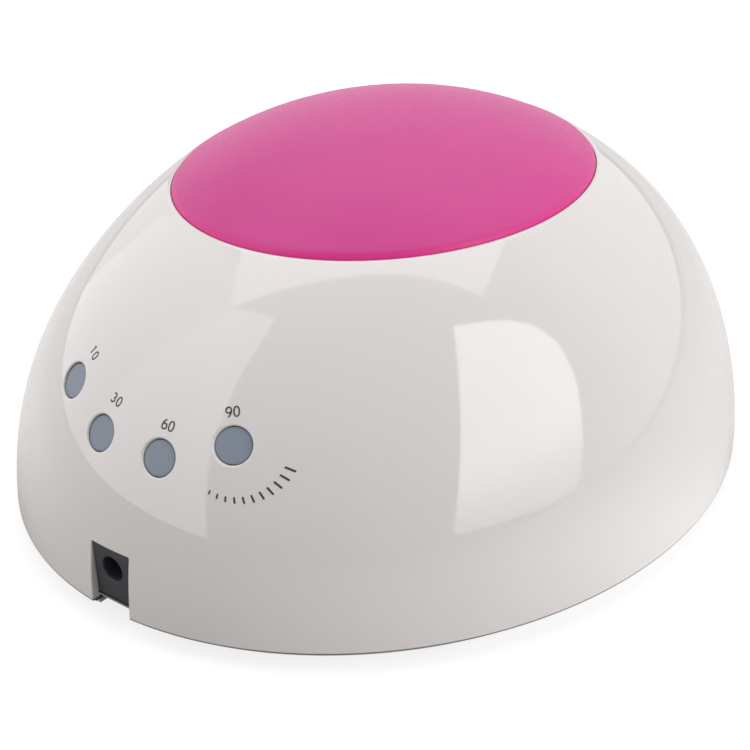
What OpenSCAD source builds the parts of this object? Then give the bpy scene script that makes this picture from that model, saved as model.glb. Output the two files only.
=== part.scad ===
// Dome lamp for curing gel nails: a light shell with a soft top pad, four
// timer buttons and a power socket at the back, a hand opening at the front,
// a silver reflector with 33 lamps inside and a removable base plate.
// Frame: +Z up, origin on the table under the middle of the lamp,
// the hand opening faces -Y, the buttons and the socket face +Y.

/* [Dome] */
// Length of the dome, front to back
dome_l = 203; // [200:0.5:206]
// Width of the dome, side to side
dome_w = 183; // [180:0.5:186]
// Height of the dome's curve above its bottom edge, to its theoretical apex
dome_h = 92.2; // [92:0.1:94]
// How far the dome's crown leans towards the front
dome_lean = 5.95; // [5:0.05:7]
// Wall of the shell
wall = 2.4; // [2.2:0.1:2.6]

/* [Top pad] */
// Height of the pad's rim above the dome's bottom edge
pad_z = 74; // [73:0.2:75]
// Rise of the pad's crown above its rim
crown = 14.4; // [13:0.2:15]
// Depth of the recess that holds the pad
recess = 1.8; // [1.4:0.1:2]
// How far the pad's crown stands proud of the line it grows from
pad_proud = 0.1; // [0:0.1:0.6]

/* [Buttons] */
// Diameter of a button cap
button_d = 8.2; // [7.6:0.1:8.6]
// Radial gap between a cap and its hole
button_gap = 0.25; // [0.2:0.01:0.4]
// Elevation of the direction the buttons are pressed along, in degrees
button_tilt = 30; // [28:0.5:32]

/* [Socket] */
// Width of the notch for the power socket
notch_w = 12; // [11.8:0.1:12.4]
// Height of the notch above the dome's bottom edge
notch_h = 16.1; // [15.8:0.1:16.6]
// Height of the socket's centre above the dome's bottom edge
jack_z = 10.6; // [10.4:0.1:11.4]
// Diameter of the hole for the plug
jack_bore_d = 6.2; // [6.1:0.1:6.5]
// Diameter of the centre pin
jack_pin_d = 2; // [1.9:0.1:2.1]

/* [Hand opening] */
// Width of the opening at the bottom
arch_w = 132; // [128:1:134]
// Height of the opening above the dome's bottom edge
arch_h = 50; // [48:0.5:52]

/* [Base] */
// Height of the rubber feet
foot_h = 2.6; // [2:0.1:3]
// Thickness of the steel base plate
plate_t = 1.2; // [1:0.1:1.4]

/* [Hidden] */
$fn = 48;
seg = 72;            // points round one ring of a curved shell
plate_gap = 0.2;     // between base plate and bottom ring
ring_drop = 0.5;     // how far the bottom ring reaches below the dome's edge
ring_z = foot_h + plate_t + plate_gap;
ring_h = 2.5;
dome_z = ring_z + ring_drop;   // height of the dome's bottom edge
deck_t = 2.3;        // thickness of the shell under the pad
pcb_t = 1.6;         // thickness of the circuit boards
seat_gap = 0.05;     // between a circuit board and what sits on it
screw_steel = "#b9bcc0";
board_green = "#2f6b3f";

// --- curved surfaces ------------------------------------------------------
// A surface is a stack of ellipses whose half axes shrink with height:
// [half width, half length, height, exponents of the width, exponents of the
// length, y of the centre at the bottom, its shift over the dome's height]
dome = [dome_w / 2, dome_l / 2, dome_h, [1.787, 1.983], [2.496, 1.525], 0, -dome_lean];
mirror = [dome_w / 2 - 14.5, dome_l / 2 - 17.5, dome_h - 20.2, [2.4, 2.2], [2.6, 2], -7.5, -1.5];

function profile(u, powers) = pow(max(1 - pow(max(u, 0), powers[0]), 1e-7), 1 / powers[1]);
function half_width(surface, z) = surface[0] * profile(z / surface[2], surface[3]);
function half_length(surface, z) = surface[1] * profile(z / surface[2], surface[4]);
function centre_y(surface, z) = surface[5] + surface[6] * z / dome_h;

// unit normal pointing out of a surface at angle t and height z
function outward(surface, t, z) =
  let(step = 0.05, low = max(z - step, 0), high = z + step, dz = high - low,
      a = half_width(surface, z),
      b = half_length(surface, z),
      a_slope = (half_width(surface, high) - half_width(surface, low)) / dz,
      b_slope = (half_length(surface, high) - half_length(surface, low)) / dz,
      y_slope = (centre_y(surface, high) - centre_y(surface, low)) / dz,
      c = cos(t), s = sin(t),
      n = [b * c, a * s, z <= 0 ? 0 : -a * s * (y_slope + b_slope * s) - b * a_slope * c * c])
  n / norm(n);
// point on a surface at angle t and height z, moved inwards along the normal
function skin(surface, t, z, inset) =
  [half_width(surface, z) * cos(t),
   centre_y(surface, z) + half_length(surface, z) * sin(t),
   dome_z + z] - inset * outward(surface, t, z);
function skin_ring(surface, z, inset, n = seg) =
  [for (i = [0 : n - 1]) skin(surface, 360 * i / n, z, inset)];
// y of the dome's back surface
function dome_back_y(x, z) =
  centre_y(dome, z) + half_length(dome, z) * sqrt(1 - pow(x / half_width(dome, z), 2));

// flat ellipses
function oval(half_x, half_y, mid_y = 0, n = seg) =
  [for (i = [0 : n - 1]) let(t = 360 * i / n) [half_x * cos(t), mid_y + half_y * sin(t)]];
function section(surface, z, grow, n = 96) =
  oval(half_width(surface, z) + grow, half_length(surface, z) + grow, centre_y(surface, z), n);
function lift(points, z) = [for (p = points) [p.x, p.y, z]];
function flat_ring(surface, z, grow) = lift(section(surface, z, grow, seg), dome_z + z);

// crowned top; s is the fraction of the way from the middle to the pad's rim
rim_a = half_width(dome, pad_z);
rim_b = half_length(dome, pad_z);
rim_y = centre_y(dome, pad_z);
rim_z = dome_z + pad_z;
function crown_z(s) = crown * (1 - pow(s, 2.385));
function deck(s, rise) = lift(oval(rim_a * s, rim_b * s, rim_y), rim_z + rise + crown_z(s));
function rim(inset, rise) = lift(section(dome, pad_z, -inset, seg), rim_z + rise);
function crown_rim(inset, rise) = rim(inset, crown_z(1 - inset / rim_a) + rise);
// height of the shell's underside below the pad
function deck_under_z(x, y) =
  rim_z - recess - deck_t + crown_z(norm([x / rim_a, (y - rim_y) / rim_b]));

// --- general shapes -------------------------------------------------------
function mean(points) = [for (p = points) 1] * points / len(points);
// four corners of a rectangle
function corners(half_x, half_y, mid_y = 0) =
  [for (s = [-1, 1], u = [-1, 1]) [s * half_x, mid_y + u * half_y]];

module at(places) {
  for (p = places) translate([p.x, p.y, 0]) children();
}
// block centred on x = 0
module bar(y, z, size) {
  translate([-size.x / 2, y, z]) cube(size);
}
// cross-shaped screwdriver slot
module cross_slot(length, width, z, h) {
  for (a = [0, 90]) rotate(a) bar(-width / 2, z, [length, width, h]);
}
// closed body through rings, both ends closed by a fan round a centre point
module loft(rings) {
  n = len(rings[0]);
  m = len(rings);
  polyhedron(
    points = concat([for (r = rings) each r], [mean(rings[0]), mean(rings[m - 1])]),
    faces = concat(
      [for (j = [0 : m - 2], i = [0 : n - 1]) each
        [[j * n + i, (j + 1) * n + i, (j + 1) * n + (i + 1) % n],
         [j * n + i, (j + 1) * n + (i + 1) % n, j * n + (i + 1) % n]]],
      [for (i = [0 : n - 1]) [m * n, i, (i + 1) % n]],
      [for (i = [0 : n - 1]) [m * n + 1, (m - 1) * n + (i + 1) % n, (m - 1) * n + i]]),
    convexity = 6);
}
// curved strip along the outside of the reflector, from height z1 to z2,
// standing off it from near to far
module strip(z1, z2, near, far) {
  n = 60;
  overlap = 26;      // degrees the strip runs on past each side
  pts = [for (i = [0 : n]) let(t = -overlap + (180 + 2 * overlap) * i / n)
    each [skin(mirror, t, z1, -near), skin(mirror, t, z2, -near),
          skin(mirror, t, z2, -far), skin(mirror, t, z1, -far)]];
  polyhedron(points = pts, faces = concat(
    [for (i = [0 : n - 1], j = [0 : 3]) each let(a = 4 * i + j, b = 4 * i + (j + 1) % 4)
      [[a, b, b + 4], [a, b + 4, a + 4]]],
    [[0, 3, 2], [0, 2, 1], [4 * n, 4 * n + 1, 4 * n + 2], [4 * n, 4 * n + 2, 4 * n + 3]]),
    convexity = 4);
}
// smooth curve through the points, at fraction u of the way from point i to the next
function through(points, i, u) =
  let(last = len(points) - 1, a = points[max(i - 1, 0)], b = points[i],
      c = points[min(i + 1, last)], d = points[min(i + 2, last)])
  0.5 * (2 * b + (c - a) * u + (2 * a - 5 * b + 4 * c - d) * u * u
    + (3 * b - a - 3 * c + d) * u * u * u);
// round wire through the points, which must never run along up
module wire(points, radius, steps = 4, up = [0, 1, 0]) {
  sides = 6;
  last = len(points) - 1;
  line = concat(
    [for (i = [0 : last - 1], j = [0 : steps - 1]) through(points, i, j / steps)],
    [points[last]]);
  m = len(line) - 1;
  loft([for (i = [0 : m])
    let(along = line[min(i + 1, m)] - line[max(i - 1, 0)],
        tangent = along / norm(along),
        across = cross(tangent, up),
        e = across / norm(across),
        f = cross(tangent, e))
    [for (j = [0 : sides - 1]) let(t = -360 * j / sides)
      line[i] + radius * (cos(t) * e + sin(t) * f)]]);
}
// solid inside the dome's outer surface, moved inwards, up to just below the rim
module dome_solid(inset) {
  loft([for (z = [0, 9, 19, 29, 38, 46, 54, 62, 69, 73]) skin_ring(dome, z, inset, 36)]);
}
// block under a square patch of the dome's back round x, z, its top moved inwards
module under_patch(x, z, half_size, inset, depth) {
  n = 6;             // squares along each side of the patch
  m = n + 1;
  e = m * m;         // index of the first bottom point
  drop = [0, cos(button_tilt), sin(button_tilt)] * depth;
  top = [for (i = [0 : n], j = [0 : n])
    let(px = x + half_size * (2 * i / n - 1), pz = z + half_size * (2 * j / n - 1))
    skin(dome, acos(px / half_width(dome, pz)), pz, inset)];
  polyhedron(points = concat(top, [for (p = top) p - drop]), faces = concat(
    [for (i = [0 : n - 1], j = [0 : n - 1]) each let(a = i * m + j)
      [[a, a + m + 1, a + 1], [a, a + m, a + m + 1],
       [e + a, e + a + 1, e + a + m + 1], [e + a, e + a + m + 1, e + a + m]]],
    [for (i = [0 : n - 1]) each let(a = i * m, b = a + m, c = a + n, d = b + n)
      [[a, e + b, b], [a, e + a, e + b], [d, e + c, c], [d, e + d, e + c]]],
    [for (j = [0 : n - 1]) each let(a = j, c = n * m + j)
      [[a + 1, e + a, a], [a + 1, e + a + 1, e + a],
       [c, e + c + 1, c + 1], [c, e + c, e + c + 1]]]),
    convexity = 4);
}
// prism of the hand opening's outline, grown, from y1 back to y2
module arch(grow, y1, y2) {
  half = arch_w / 2 + grow;
  sill = -9;         // bottom of the outline, below the dome's edge
  translate([0, y2, dome_z]) rotate([90, 0, 0]) linear_extrude(y2 - y1) polygon(concat(
    [[half, sill], [half, 0]],
    [for (t = [4 : 4 : 176])
      [half * sign(cos(t)) * pow(abs(cos(t)), 2 / 3), (arch_h + grow) * pow(sin(t), 2 / 3)]],
    [[-half, 0], [-half, sill]]));
}
module opening_cut() {
  arch(2.2, -130, -20);
}

// --- places ---------------------------------------------------------------
boss_t = [22, 62, 118, 158, 202, 338];   // angles of the screws in the bottom ring
boss_inset = 4.9;
magnet_t = [40, 140, 208, 332];
magnet_inset = 8.2;
main_z = dome_z + 70.2;                  // underside of the main board
main_post_at = corners(26, 18, -6);

module at_edge(angles, inset) {
  for (t = angles) translate(skin(dome, t, 0, inset)) children();
}
module at_bosses() {
  at_edge(boss_t, boss_inset) children();
}
module at_magnets() {
  at_edge(magnet_t, magnet_inset) children();
}

// Lamps: two rows round the reflector and a group on its flat top
function row_angles(overlap) = [for (i = [0 : 11]) -overlap + (180 + 2 * overlap) / 11 * i];
lower_t = row_angles(21.5);
upper_t = row_angles(20);
lower_z = 22;
upper_z = 42;
mirror_top = 62;                         // height of the reflector's flat top
top_lamp_at = concat([[0, 0]], oval(25, 26, n = 8));
led_screw_at = corners(14.5, 13);
lamp_hole_r = 3.9;
sensor_x = 6;
sensor_y = -36.5;

// frame in the middle of the reflector's flat top
module on_mirror_top() {
  translate([0, centre_y(mirror, mirror_top), dome_z + mirror_top]) children();
}
// frames on the reflector's outside, +Z out
module on_mirror(angles, z) {
  for (t = angles) {
    n = outward(mirror, t, z);
    translate(skin(mirror, t, z, 0)) rotate([0, acos(n.z), atan2(n.y, n.x)]) children();
  }
}
module at_top_lamps() {
  on_mirror_top() at(top_lamp_at) children();
}
module at_upper_lamps() {
  on_mirror(upper_t, upper_z) children();
}
module at_lower_lamps() {
  on_mirror(lower_t, lower_z) children();
}

// Socket
jack_y = dome_back_y(0, 0) - 2.2;        // back face of the socket plate
jack_in = jack_y - 0.4;                  // place the socket's inner parts are measured from
jack_axis_z = dome_z + jack_z;
jack_board_z = dome_z + 3.5;             // underside of the socket's board
module notch_cut(z, h) {
  bar(jack_y - 10, z, [notch_w, 20, h]);
}

// Buttons: in the button frame local +Z is the way out of the dome
module tilted() {
  rotate([button_tilt - 90, 0, 0]) children();
}
function to_tilted(p) = let(s = sin(button_tilt), c = cos(button_tilt))
  [p.x, p.y * s - p.z * c, p.y * c + p.z * s];
button_xz = [[25, 44.4], [9.2, 39.25], [-9.2, 39.25], [-25, 44.4]];   // z above the dome's edge
button_at = [for (b = button_xz) to_tilted([b[0], dome_back_y(b[0], b[1]), dome_z + b[1]])];
flange_drop = [5.6, 3.5, 3.5, 5.6];      // cap face centre to flange top
flange_t = 1;
switch_board_z = button_at[0].z - 10.9;  // outer side of the button board
switch_board_y = (button_at[0].y + button_at[1].y) / 2;
switch_post_at = [[16.8, -5.5], [-16.8, -5.5], [0, 7.5]];
module at_button(i) {
  tilted() translate(button_at[i]) children();
}
module at_switch(i) {
  tilted() translate([button_at[i].x, button_at[i].y, switch_board_z]) children();
}
module at_switch_posts() {
  tilted() translate([0, switch_board_y, switch_board_z]) at(switch_post_at) children();
}

// --- shell and outside ----------------------------------------------------
module shell_loft() {
  thick_z = 52;      // the wall thickens from here up to the rim
  rim_step = 0.8;    // width of the flat rim round the recess
  loft(concat(
    [for (s = [0.14, 0.36, 0.58, 0.78, 0.93]) deck(s, -recess - deck_t)],
    [for (z = [73, 68, 62, 55, 47, 39, 31, 23, 15, 7, 0])
      skin_ring(dome, z, wall + 1.5 * max(0, (z - thick_z) / 21))],
    [for (z = [0, 7, 14, 21, 28, 35, 42, 48, 54, 60, 65, 69.5, 72.5]) skin_ring(dome, z, 0)],
    [rim(0, 0), rim(rim_step, 0), crown_rim(rim_step, -recess)],
    [for (s = [0.9, 0.74, 0.55, 0.36, 0.14]) deck(s, -recess)]));
}
module outer_shell() {
  post_z = main_z + pcb_t + seat_gap;
  color("#dfdbda") difference() {
    union() {
      shell_loft();
      // bosses and button board posts, trimmed to the dome
      intersection() {
        dome_solid(1.2);
        union() {
          at_bosses() translate([0, 0, 2.1]) cylinder(r = 3.2, h = 9);
          at_switch_posts() translate([0, 0, seat_gap]) cylinder(r = 2.6, h = 16);
        }
      }
      for (p = main_post_at) translate([p.x, p.y, post_z])
        cylinder(r = 3, h = deck_under_z(p.x, p.y) + 0.9 - post_z);
    }
    opening_cut();
    bar(60, dome_z - 1, [notch_w, 60, notch_h + 1]);
    for (i = [0 : 3]) at_button(i) translate([0, 0, -8])
      cylinder(r = button_d / 2 + button_gap, h = 16);
    // screw holes
    at_bosses() translate([0, 0, 2]) cylinder(r = 1.35, h = 7.6);
    at_switch_posts() translate([0, 0, -1]) cylinder(r = 1.05, h = 6);
    translate([0, 0, main_z + 1]) at(main_post_at) cylinder(r = 1.25, h = 5.6);
  }
}
module top_pad() {
  bottom = 0.15 - recess;
  color("#d0559a") loft(concat(
    [for (s = [0.14, 0.36, 0.55, 0.74, 0.9]) deck(s, bottom)],
    [crown_rim(1, bottom), crown_rim(1, pad_proud - 1.1),
     crown_rim(1.2, pad_proud - 0.6), crown_rim(1.7, pad_proud - 0.2)],
    [for (s = [0.95, 0.86, 0.74, 0.6, 0.45, 0.3, 0.14]) deck(s, pad_proud)]));
}
module opening_trim() {
  color("#e8e6e4") difference() {
    intersection() {
      arch(2, -112, -36);
      dome_solid(0.25);
    }
    arch(0, -113, -35);
    loft([for (z = [0, 10, 20, 30, 40, 50, 58, 62]) skin_ring(mirror, z, 0.7)]);
    bar(-120, 0, [200, 120, dome_z + 0.1]);
  }
}
module bottom_ring() {
  step_h = 0.4;      // height of the wider step at the bottom
  color("#3c3e42") difference() {
    union() {
      translate([0, 0, ring_z]) linear_extrude(step_h) polygon(section(dome, 0, -1));
      translate([0, 0, ring_z + step_h]) linear_extrude(ring_h - step_h)
        polygon(section(dome, 0, -wall - 0.4));
    }
    translate([0, 0, ring_z - 1]) linear_extrude(6) polygon(section(mirror, 0, -1.6));
    opening_cut();
    at_bosses() {
      translate([0, 0, -1]) cylinder(r = 1.5, h = 5);
      translate([0, 0, -2]) cylinder(r = 2.5, h = 2.9);
    }
    notch_cut(ring_z - 1, 7);
    at_magnets() translate([0, 0, -2]) cylinder(r = 4.1, h = 3.2);
    // row of slots on each side
    for (s = [-1, 1], y = [-26 : 6.5 : 26])
      translate([s * 81, y, ring_z - 1]) cube([7, 2.4, 12], center = true);
  }
}
module ring_screws() {
  color(screw_steel) at_bosses() difference() {
    union() {
      translate([0, 0, 0.7]) cylinder(r = 1.28, h = 7.8);
      translate([0, 0, -0.3]) cylinder(r1 = 1.95, r2 = 2.2, h = 1.1);
    }
    cross_slot(length = 2.5, width = 0.6, z = -1, h = 1.4);
  }
}
module ring_magnets() {
  color("#a8abb0") at_magnets() translate([0, 0, -0.4]) cylinder(r = 4, h = 1.5);
}
module base_plate() {
  step_h = 0.3;      // height of the narrower step at the bottom
  tab_y = -101.2;    // front edge of the pull tab
  tab_r = 8;
  color("#c9cbce") translate([0, 0, foot_h]) difference() {
    union() {
      linear_extrude(step_h) polygon(section(dome, 0, -2.6));
      translate([0, 0, step_h]) linear_extrude(plate_t - step_h)
        polygon(section(dome, 0, -2.2));
      hull() for (s = [-1, 1]) translate([s * 15, tab_y + tab_r, 0])
        cylinder(r = tab_r, h = plate_t);
    }
    // slot through the tab and three slots at the back
    hull() for (s = [-1, 1]) translate([s * 11, tab_y + 5, -1]) cylinder(r = 1.6, h = 4);
    for (y = [60 : 6 : 72]) translate([0, y, 0]) cube([34, 2, 6], center = true);
    notch_cut(-1, 4);
  }
}
module plate_feet() {
  color("#2b2c2e") at(corners(58, 61, -1))
    rotate_extrude() polygon([[0, 0], [5.2, 0], [5.9, 0.5], [6.5, foot_h], [0, foot_h]]);
}

// --- reflector and lamps --------------------------------------------------
module inner_reflector() {
  top_t = 1.2;       // thickness of the flat top and of the flange
  flange_z = 2.1;    // underside of the flange round the bottom
  top_z = dome_z + mirror_top;
  color("#d4d7dc") difference() {
    loft(concat(
      [for (inset = [14, 2.2]) lift(section(mirror, mirror_top, -inset, seg), top_z - top_t)],
      [for (z = [60, 56, 51, 45, 38, 30, 21, 11, flange_z])
        flat_ring(mirror, z, -1.2 - 0.8 * pow(z / mirror_top, 4))],
      [for (z = [0, top_t]) lift(section(mirror, flange_z, 4, seg), dome_z + flange_z + z)],
      [for (z = [flange_z + top_t, 11, 21, 30, 38, 45, 51, 56, 60, mirror_top])
        flat_ring(mirror, z, 0)],
      [flat_ring(mirror, mirror_top, -14)]));
    opening_cut();
    at_lower_lamps() translate([0, 0, -6]) cylinder(r = lamp_hole_r, h = 9);
    at_upper_lamps() translate([0, 0, -6]) cylinder(r = lamp_hole_r, h = 9);
    at_top_lamps() translate([0, 0, -3]) cylinder(r = lamp_hole_r, h = 6);
    on_mirror_top() for (s = [-1, 1])
      translate([s * sensor_x, sensor_y, -3]) cylinder(r = 2.75, h = 6);
  }
}
module led_strip(z, near) {
  half_h = 4.5;
  color("#e9e9e4") strip(z - half_h, z + half_h, near, near + 1);
}
module led_strip_upper() { led_strip(upper_z, 1.25); }
module led_strip_lower() { led_strip(lower_z, 1.1); }
module led_plate_top() {
  color("#e9e9e4") on_mirror_top() difference() {
    translate([0, 0, 0.9]) linear_extrude(1.6) polygon(oval(34, 33));
    at(led_screw_at) cylinder(r = 1.2, h = 5);
  }
}
module led_plate_screws() {
  shank_h = 2.5;
  color(screw_steel) on_mirror_top() at(led_screw_at) translate([0, 0, 0.1]) {
    cylinder(r = 1.1, h = shank_h);
    translate([0, 0, shank_h]) difference() {
      cylinder(r1 = 2, r2 = 1.7, h = 1);
      cross_slot(length = 2.4, width = 0.5, z = 0.5, h = 1);
    }
  }
}
module chip() {
  bar(-1.8, 0.2, [3.6, 3.6, 0.55]);
}
// short cylinder with a domed end facing into the lamp
module lens() {
  r = 3.4;
  dome_start = -2.1;
  dome_depth = 1.7;
  rotate_extrude() polygon(concat([[0, 0.1], [r, 0.1], [r, dome_start]],
    [for (a = [15 : 15 : 75]) [r * cos(a), dome_start - dome_depth * sin(a)]],
    [[0, dome_start - dome_depth]]));
}
module led_chips_top() { color("#f0e6b4") at_top_lamps() chip(); }
module led_chips_upper() { color("#f0e6b4") at_upper_lamps() chip(); }
module led_chips_lower() { color("#f0e6b4") at_lower_lamps() chip(); }
module led_lenses_top() { color("#dfe6f2") at_top_lamps() lens(); }
module led_lenses_upper() { color("#dfe6f2") at_upper_lamps() lens(); }
module led_lenses_lower() { color("#dfe6f2") at_lower_lamps() lens(); }

module sensor_board() {
  color(board_green) on_mirror_top() bar(sensor_y - 5, 0.6, [24, 7.6, 1.2]);
}
// cylinder with a round end facing down
module sensor_part(x) {
  r = 2.5;
  on_mirror_top() translate([x, sensor_y, -2.8]) {
    cylinder(r = r, h = 3.3);
    rotate_extrude() polygon(concat([[0, 0]],
      [for (a = [0 : 18 : 72]) [r * cos(a), -r * sin(a)]], [[0, -r]]));
  }
}
module sensor_emitter() { color("#cfd6df") sensor_part(-sensor_x); }
module sensor_receiver() { color("#26272b") sensor_part(sensor_x); }

// --- power socket ---------------------------------------------------------
// frame on the socket's axis, local +Z pointing to the back
module along_jack(y) {
  translate([0, y, jack_axis_z]) rotate([-90, 0, 0]) children();
}
module jack_plate() {
  front_t = 3.6;     // part that fills the notch
  rear_t = 1.4;      // wider part inside the shell
  color("#393c40") difference() {
    union() {
      bar(jack_y - front_t, dome_z + 1.4, [notch_w - 0.2, front_t, notch_h - 1.5]);
      bar(jack_y - front_t - rear_t, dome_z + 2.2, [17, rear_t, notch_h + 0.8]);
    }
    along_jack(jack_y - 10) cylinder(r = jack_bore_d / 2, h = 20);
  }
}
module jack_body() {
  color("#1d1e20") difference() {
    bar(jack_in - 17, jack_board_z + 1.7, [9.2, 12.3, jack_axis_z + 2.9 - jack_board_z]);
    along_jack(jack_in - 14.5) cylinder(r = 2.8, h = 14);
    along_jack(jack_in - 20) cylinder(r = 0.58, h = 6);
    bar(jack_in - 12, jack_board_z - 0.3, [1.2, 5, jack_axis_z - 1.7 - jack_board_z]);
  }
}
module jack_centre_pin() {
  pin_r = jack_pin_d / 2;
  color("#c8c2b0") {
    along_jack(jack_in - 17.6) cylinder(r = 0.55, h = 3.3);
    along_jack(jack_in - 14.4) cylinder(r = pin_r, h = 9.2);
    along_jack(jack_in - 5.2) cylinder(r1 = pin_r, r2 = pin_r - 0.35, h = 0.4);
  }
}
module jack_contacts() {
  leg_z = jack_board_z + 0.3;
  color("#c9ccd0") {
    bar(jack_in - 11.8, leg_z, [1, 0.4, jack_axis_z - 3.3 - jack_board_z]);
    bar(jack_in - 11.4, jack_board_z + 1.8, [1, 3.6, 0.3]);
    bar(jack_in - 17.9, leg_z, [0.8, 0.25, jack_axis_z - 1.3 - jack_board_z]);
  }
}
module jack_board() {
  color(board_green) difference() {
    bar(jack_in - 18.6, jack_board_z, [18, 13.8, pcb_t]);
    bar(jack_in - 12.1, jack_board_z - 1.3, [1.6, 1, 5]);
    bar(jack_in - 18.2, jack_board_z - 1.3, [1.6, 0.8, 5]);
  }
}
// from the socket's board over the reflector to the main board
module power_wires() {
  route = [[77, 8], [66, 12], [56, 24], [50, 40], [46, 54]];   // angle, height
  for (s = [0, 1]) color(["#b3282d", "#222326"][s])
    wire(concat(
      [[5.7, jack_in - 16.4 + 2 * s, dome_z + 5.95]],
      [for (q = route) skin(mirror, q[0], q[1], -6.3 - 2 * s)],
      [[31 + 0.6 * s, 25 - 0.4 * s, main_z - 4.5 + 1.9 * s],
       [28 + 2.2 * s, 4, main_z - 0.85]]),
      radius = 0.75, up = [0.7, -0.1, -0.7]);
}

// --- main board -----------------------------------------------------------
// frame just above the main board
module on_main_board() {
  translate([0, 0, main_z + pcb_t + seat_gap]) children();
}
module main_board() {
  color(board_green) difference() {
    bar(-29, main_z, [62, 46, pcb_t]);
    translate([0, 0, main_z - 1]) at(main_post_at) cylinder(r = 1.4, h = 4);
  }
}
module main_board_screws() {
  color(screw_steel) translate([0, 0, main_z]) at(main_post_at) difference() {
    union() {
      translate([0, 0, -0.05]) cylinder(r = 1.2, h = 6);
      translate([0, 0, -1.25]) cylinder(r1 = 1.9, r2 = 2.3, h = 1.2);
    }
    cross_slot(length = 2.6, width = 0.5, z = -2, h = 1.3);
  }
}
module controller_chip() {
  pin_pitch = 1.27;
  color("#232427") on_main_board() translate([-4, -12, 0]) {
    translate([0, 0, 0.15]) cube([10, 4, 1.5]);
    for (i = [0 : 7], y = [-1.1, 3.9])
      translate([0.4 + pin_pitch * i, y, 0]) cube([0.42, 1.2, 0.5]);
  }
}
module driver_transistors() {
  color("#2a2b2e") on_main_board() at([[-19, -1], [-11, -1]]) {
    cube([6.4, 6, 2.2]);
    translate([0.5, 5.9, 0]) cube([5.4, 1.6, 0.6]);
    for (x = [0.6, 5]) translate([x, -2.4, 0]) cube([0.8, 2.5, 0.6]);
  }
}
module filter_capacitors() {
  can_h = 6.6;
  color("#31353c") on_main_board() at([[2, 3], [11, 3]]) difference() {
    union() {
      cylinder(r = 3.1, h = can_h);
      cylinder(r = 3.4, h = 1);
    }
    for (a = [0, 60, 120])
      translate([0, 0, can_h]) rotate(a) cube([4.4, 0.3, 0.5], center = true);
  }
}
module choke_coil() {
  color("#5a5148") on_main_board() translate([14, -10, 0]) {
    bar(-4, 0, [8, 8, 1.1]);
    cylinder(r = 3, h = 5);
    translate([0, 0, 4.2]) cylinder(r = 3.9, h = 1.2);
  }
}
module board_sockets() {
  color("#ece9e0") on_main_board()
    at([[-23.5, -14], [-13.5, -22], [-3.5, -22], [6.5, -22]]) difference() {
      cube([6.6, 4.2, 4.4]);
      translate([0.7, 0.7, 1]) cube([5.2, 2.8, 5]);
    }
}
// on each side one wire from the board to the upper strip and one between the strips
module led_wires() {
  radius = 0.55;
  drops = [[-3, -2.9], [-9, -4.4], [-12, -4.4], [-17.6, -2.8]];   // height, inset
  for (s = [-1, 1]) color(s < 0 ? "#b3282d" : "#e4e4e0") {
    t = s > 0 ? 6 : 174;
    wire([[s * 29, -9, main_z - 0.65], [s * 39, -10, dome_z + 67], [s * 52, -9, dome_z + 60],
          skin(mirror, t, upper_z + 7, -6), skin(mirror, t, upper_z + 3, -2.9)], radius, 3);
    wire([for (q = drops) skin(mirror, s > 0 ? 4 : 176, upper_z + q[0], q[1])], radius, 3);
  }
}

// --- buttons --------------------------------------------------------------
module button_cap(i) {
  drop = flange_drop[i];
  stem = button_at[i].z - switch_board_z - 4.4;   // cap face to stem tip
  color("#808996") union() {
    // cap, its face following the dome
    intersection() {
      at_button(i) translate([0, 0, -drop - 0.4]) cylinder(r = button_d / 2, h = 12);
      under_patch(button_xz[i][0], button_xz[i][1], half_size = 6.5, inset = 0.55, depth = 14);
    }
    at_button(i) {
      translate([0, 0, -drop - flange_t]) cylinder(r = button_d / 2 + 1.1, h = flange_t);
      translate([0, 0, -stem]) cylinder(r = 1.9, h = stem - drop - 0.5);
    }
  }
}
module button_cap_10() { button_cap(0); }
module button_cap_30() { button_cap(1); }
module button_cap_60() { button_cap(2); }
module button_cap_90() { button_cap(3); }
module switch_plunger(i) {
  color("#efece4") at_switch(i) translate([0, 0, 2.9]) cylinder(r = 1.7, h = 1.4);
}
module switch_plunger_10() { switch_plunger(0); }
module switch_plunger_30() { switch_plunger(1); }
module switch_plunger_60() { switch_plunger(2); }
module switch_plunger_90() { switch_plunger(3); }
module switch_cases() {
  color("#303236") for (i = [0 : 3]) at_switch(i) translate([0, 0, seat_gap]) difference() {
    union() {
      bar(-3, 0, [6, 6, 3.3]);
      at(corners(3.3, 2.2)) translate([0, 0, 0.5]) cube([0.7, 0.7, 1], center = true);
    }
    translate([0, 0, 2.1]) cylinder(r = 1.9, h = 4);
  }
}
module button_board() {
  color(board_green) difference() {
    tilted() bar(switch_board_y - 10.5, switch_board_z - pcb_t, [62, 20.5, pcb_t]);
    at_switch_posts() translate([0, 0, -3]) cylinder(r = 1.2, h = 6);
  }
}
module button_board_screws() {
  color(screw_steel) at_switch_posts() translate([0, 0, -pcb_t - seat_gap]) {
    cylinder(r = 1, h = 6);
    difference() {
      translate([0, 0, -1]) cylinder(r1 = 1.6, r2 = 1.9, h = 1);
      cross_slot(length = 2.2, width = 0.5, z = -1.6, h = 1);
    }
  }
}
// five wires side by side from the button board to the main board
module button_ribbon() {
  pitch = 1.2;
  route = [[71.5, dome_z + 43.4], [68.6, dome_z + 49], [60, dome_z + 58],
           [42, dome_z + 66.5], [23, dome_z + 72.6], [14, main_z + 2.15]];   // y, z
  color("#c9c7bf") for (i = [-2 : 2])
    wire([for (q = route) [i * pitch, q[0], q[1]]], radius = 0.5, steps = 3, up = [1, 0, 0]);
}

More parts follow.
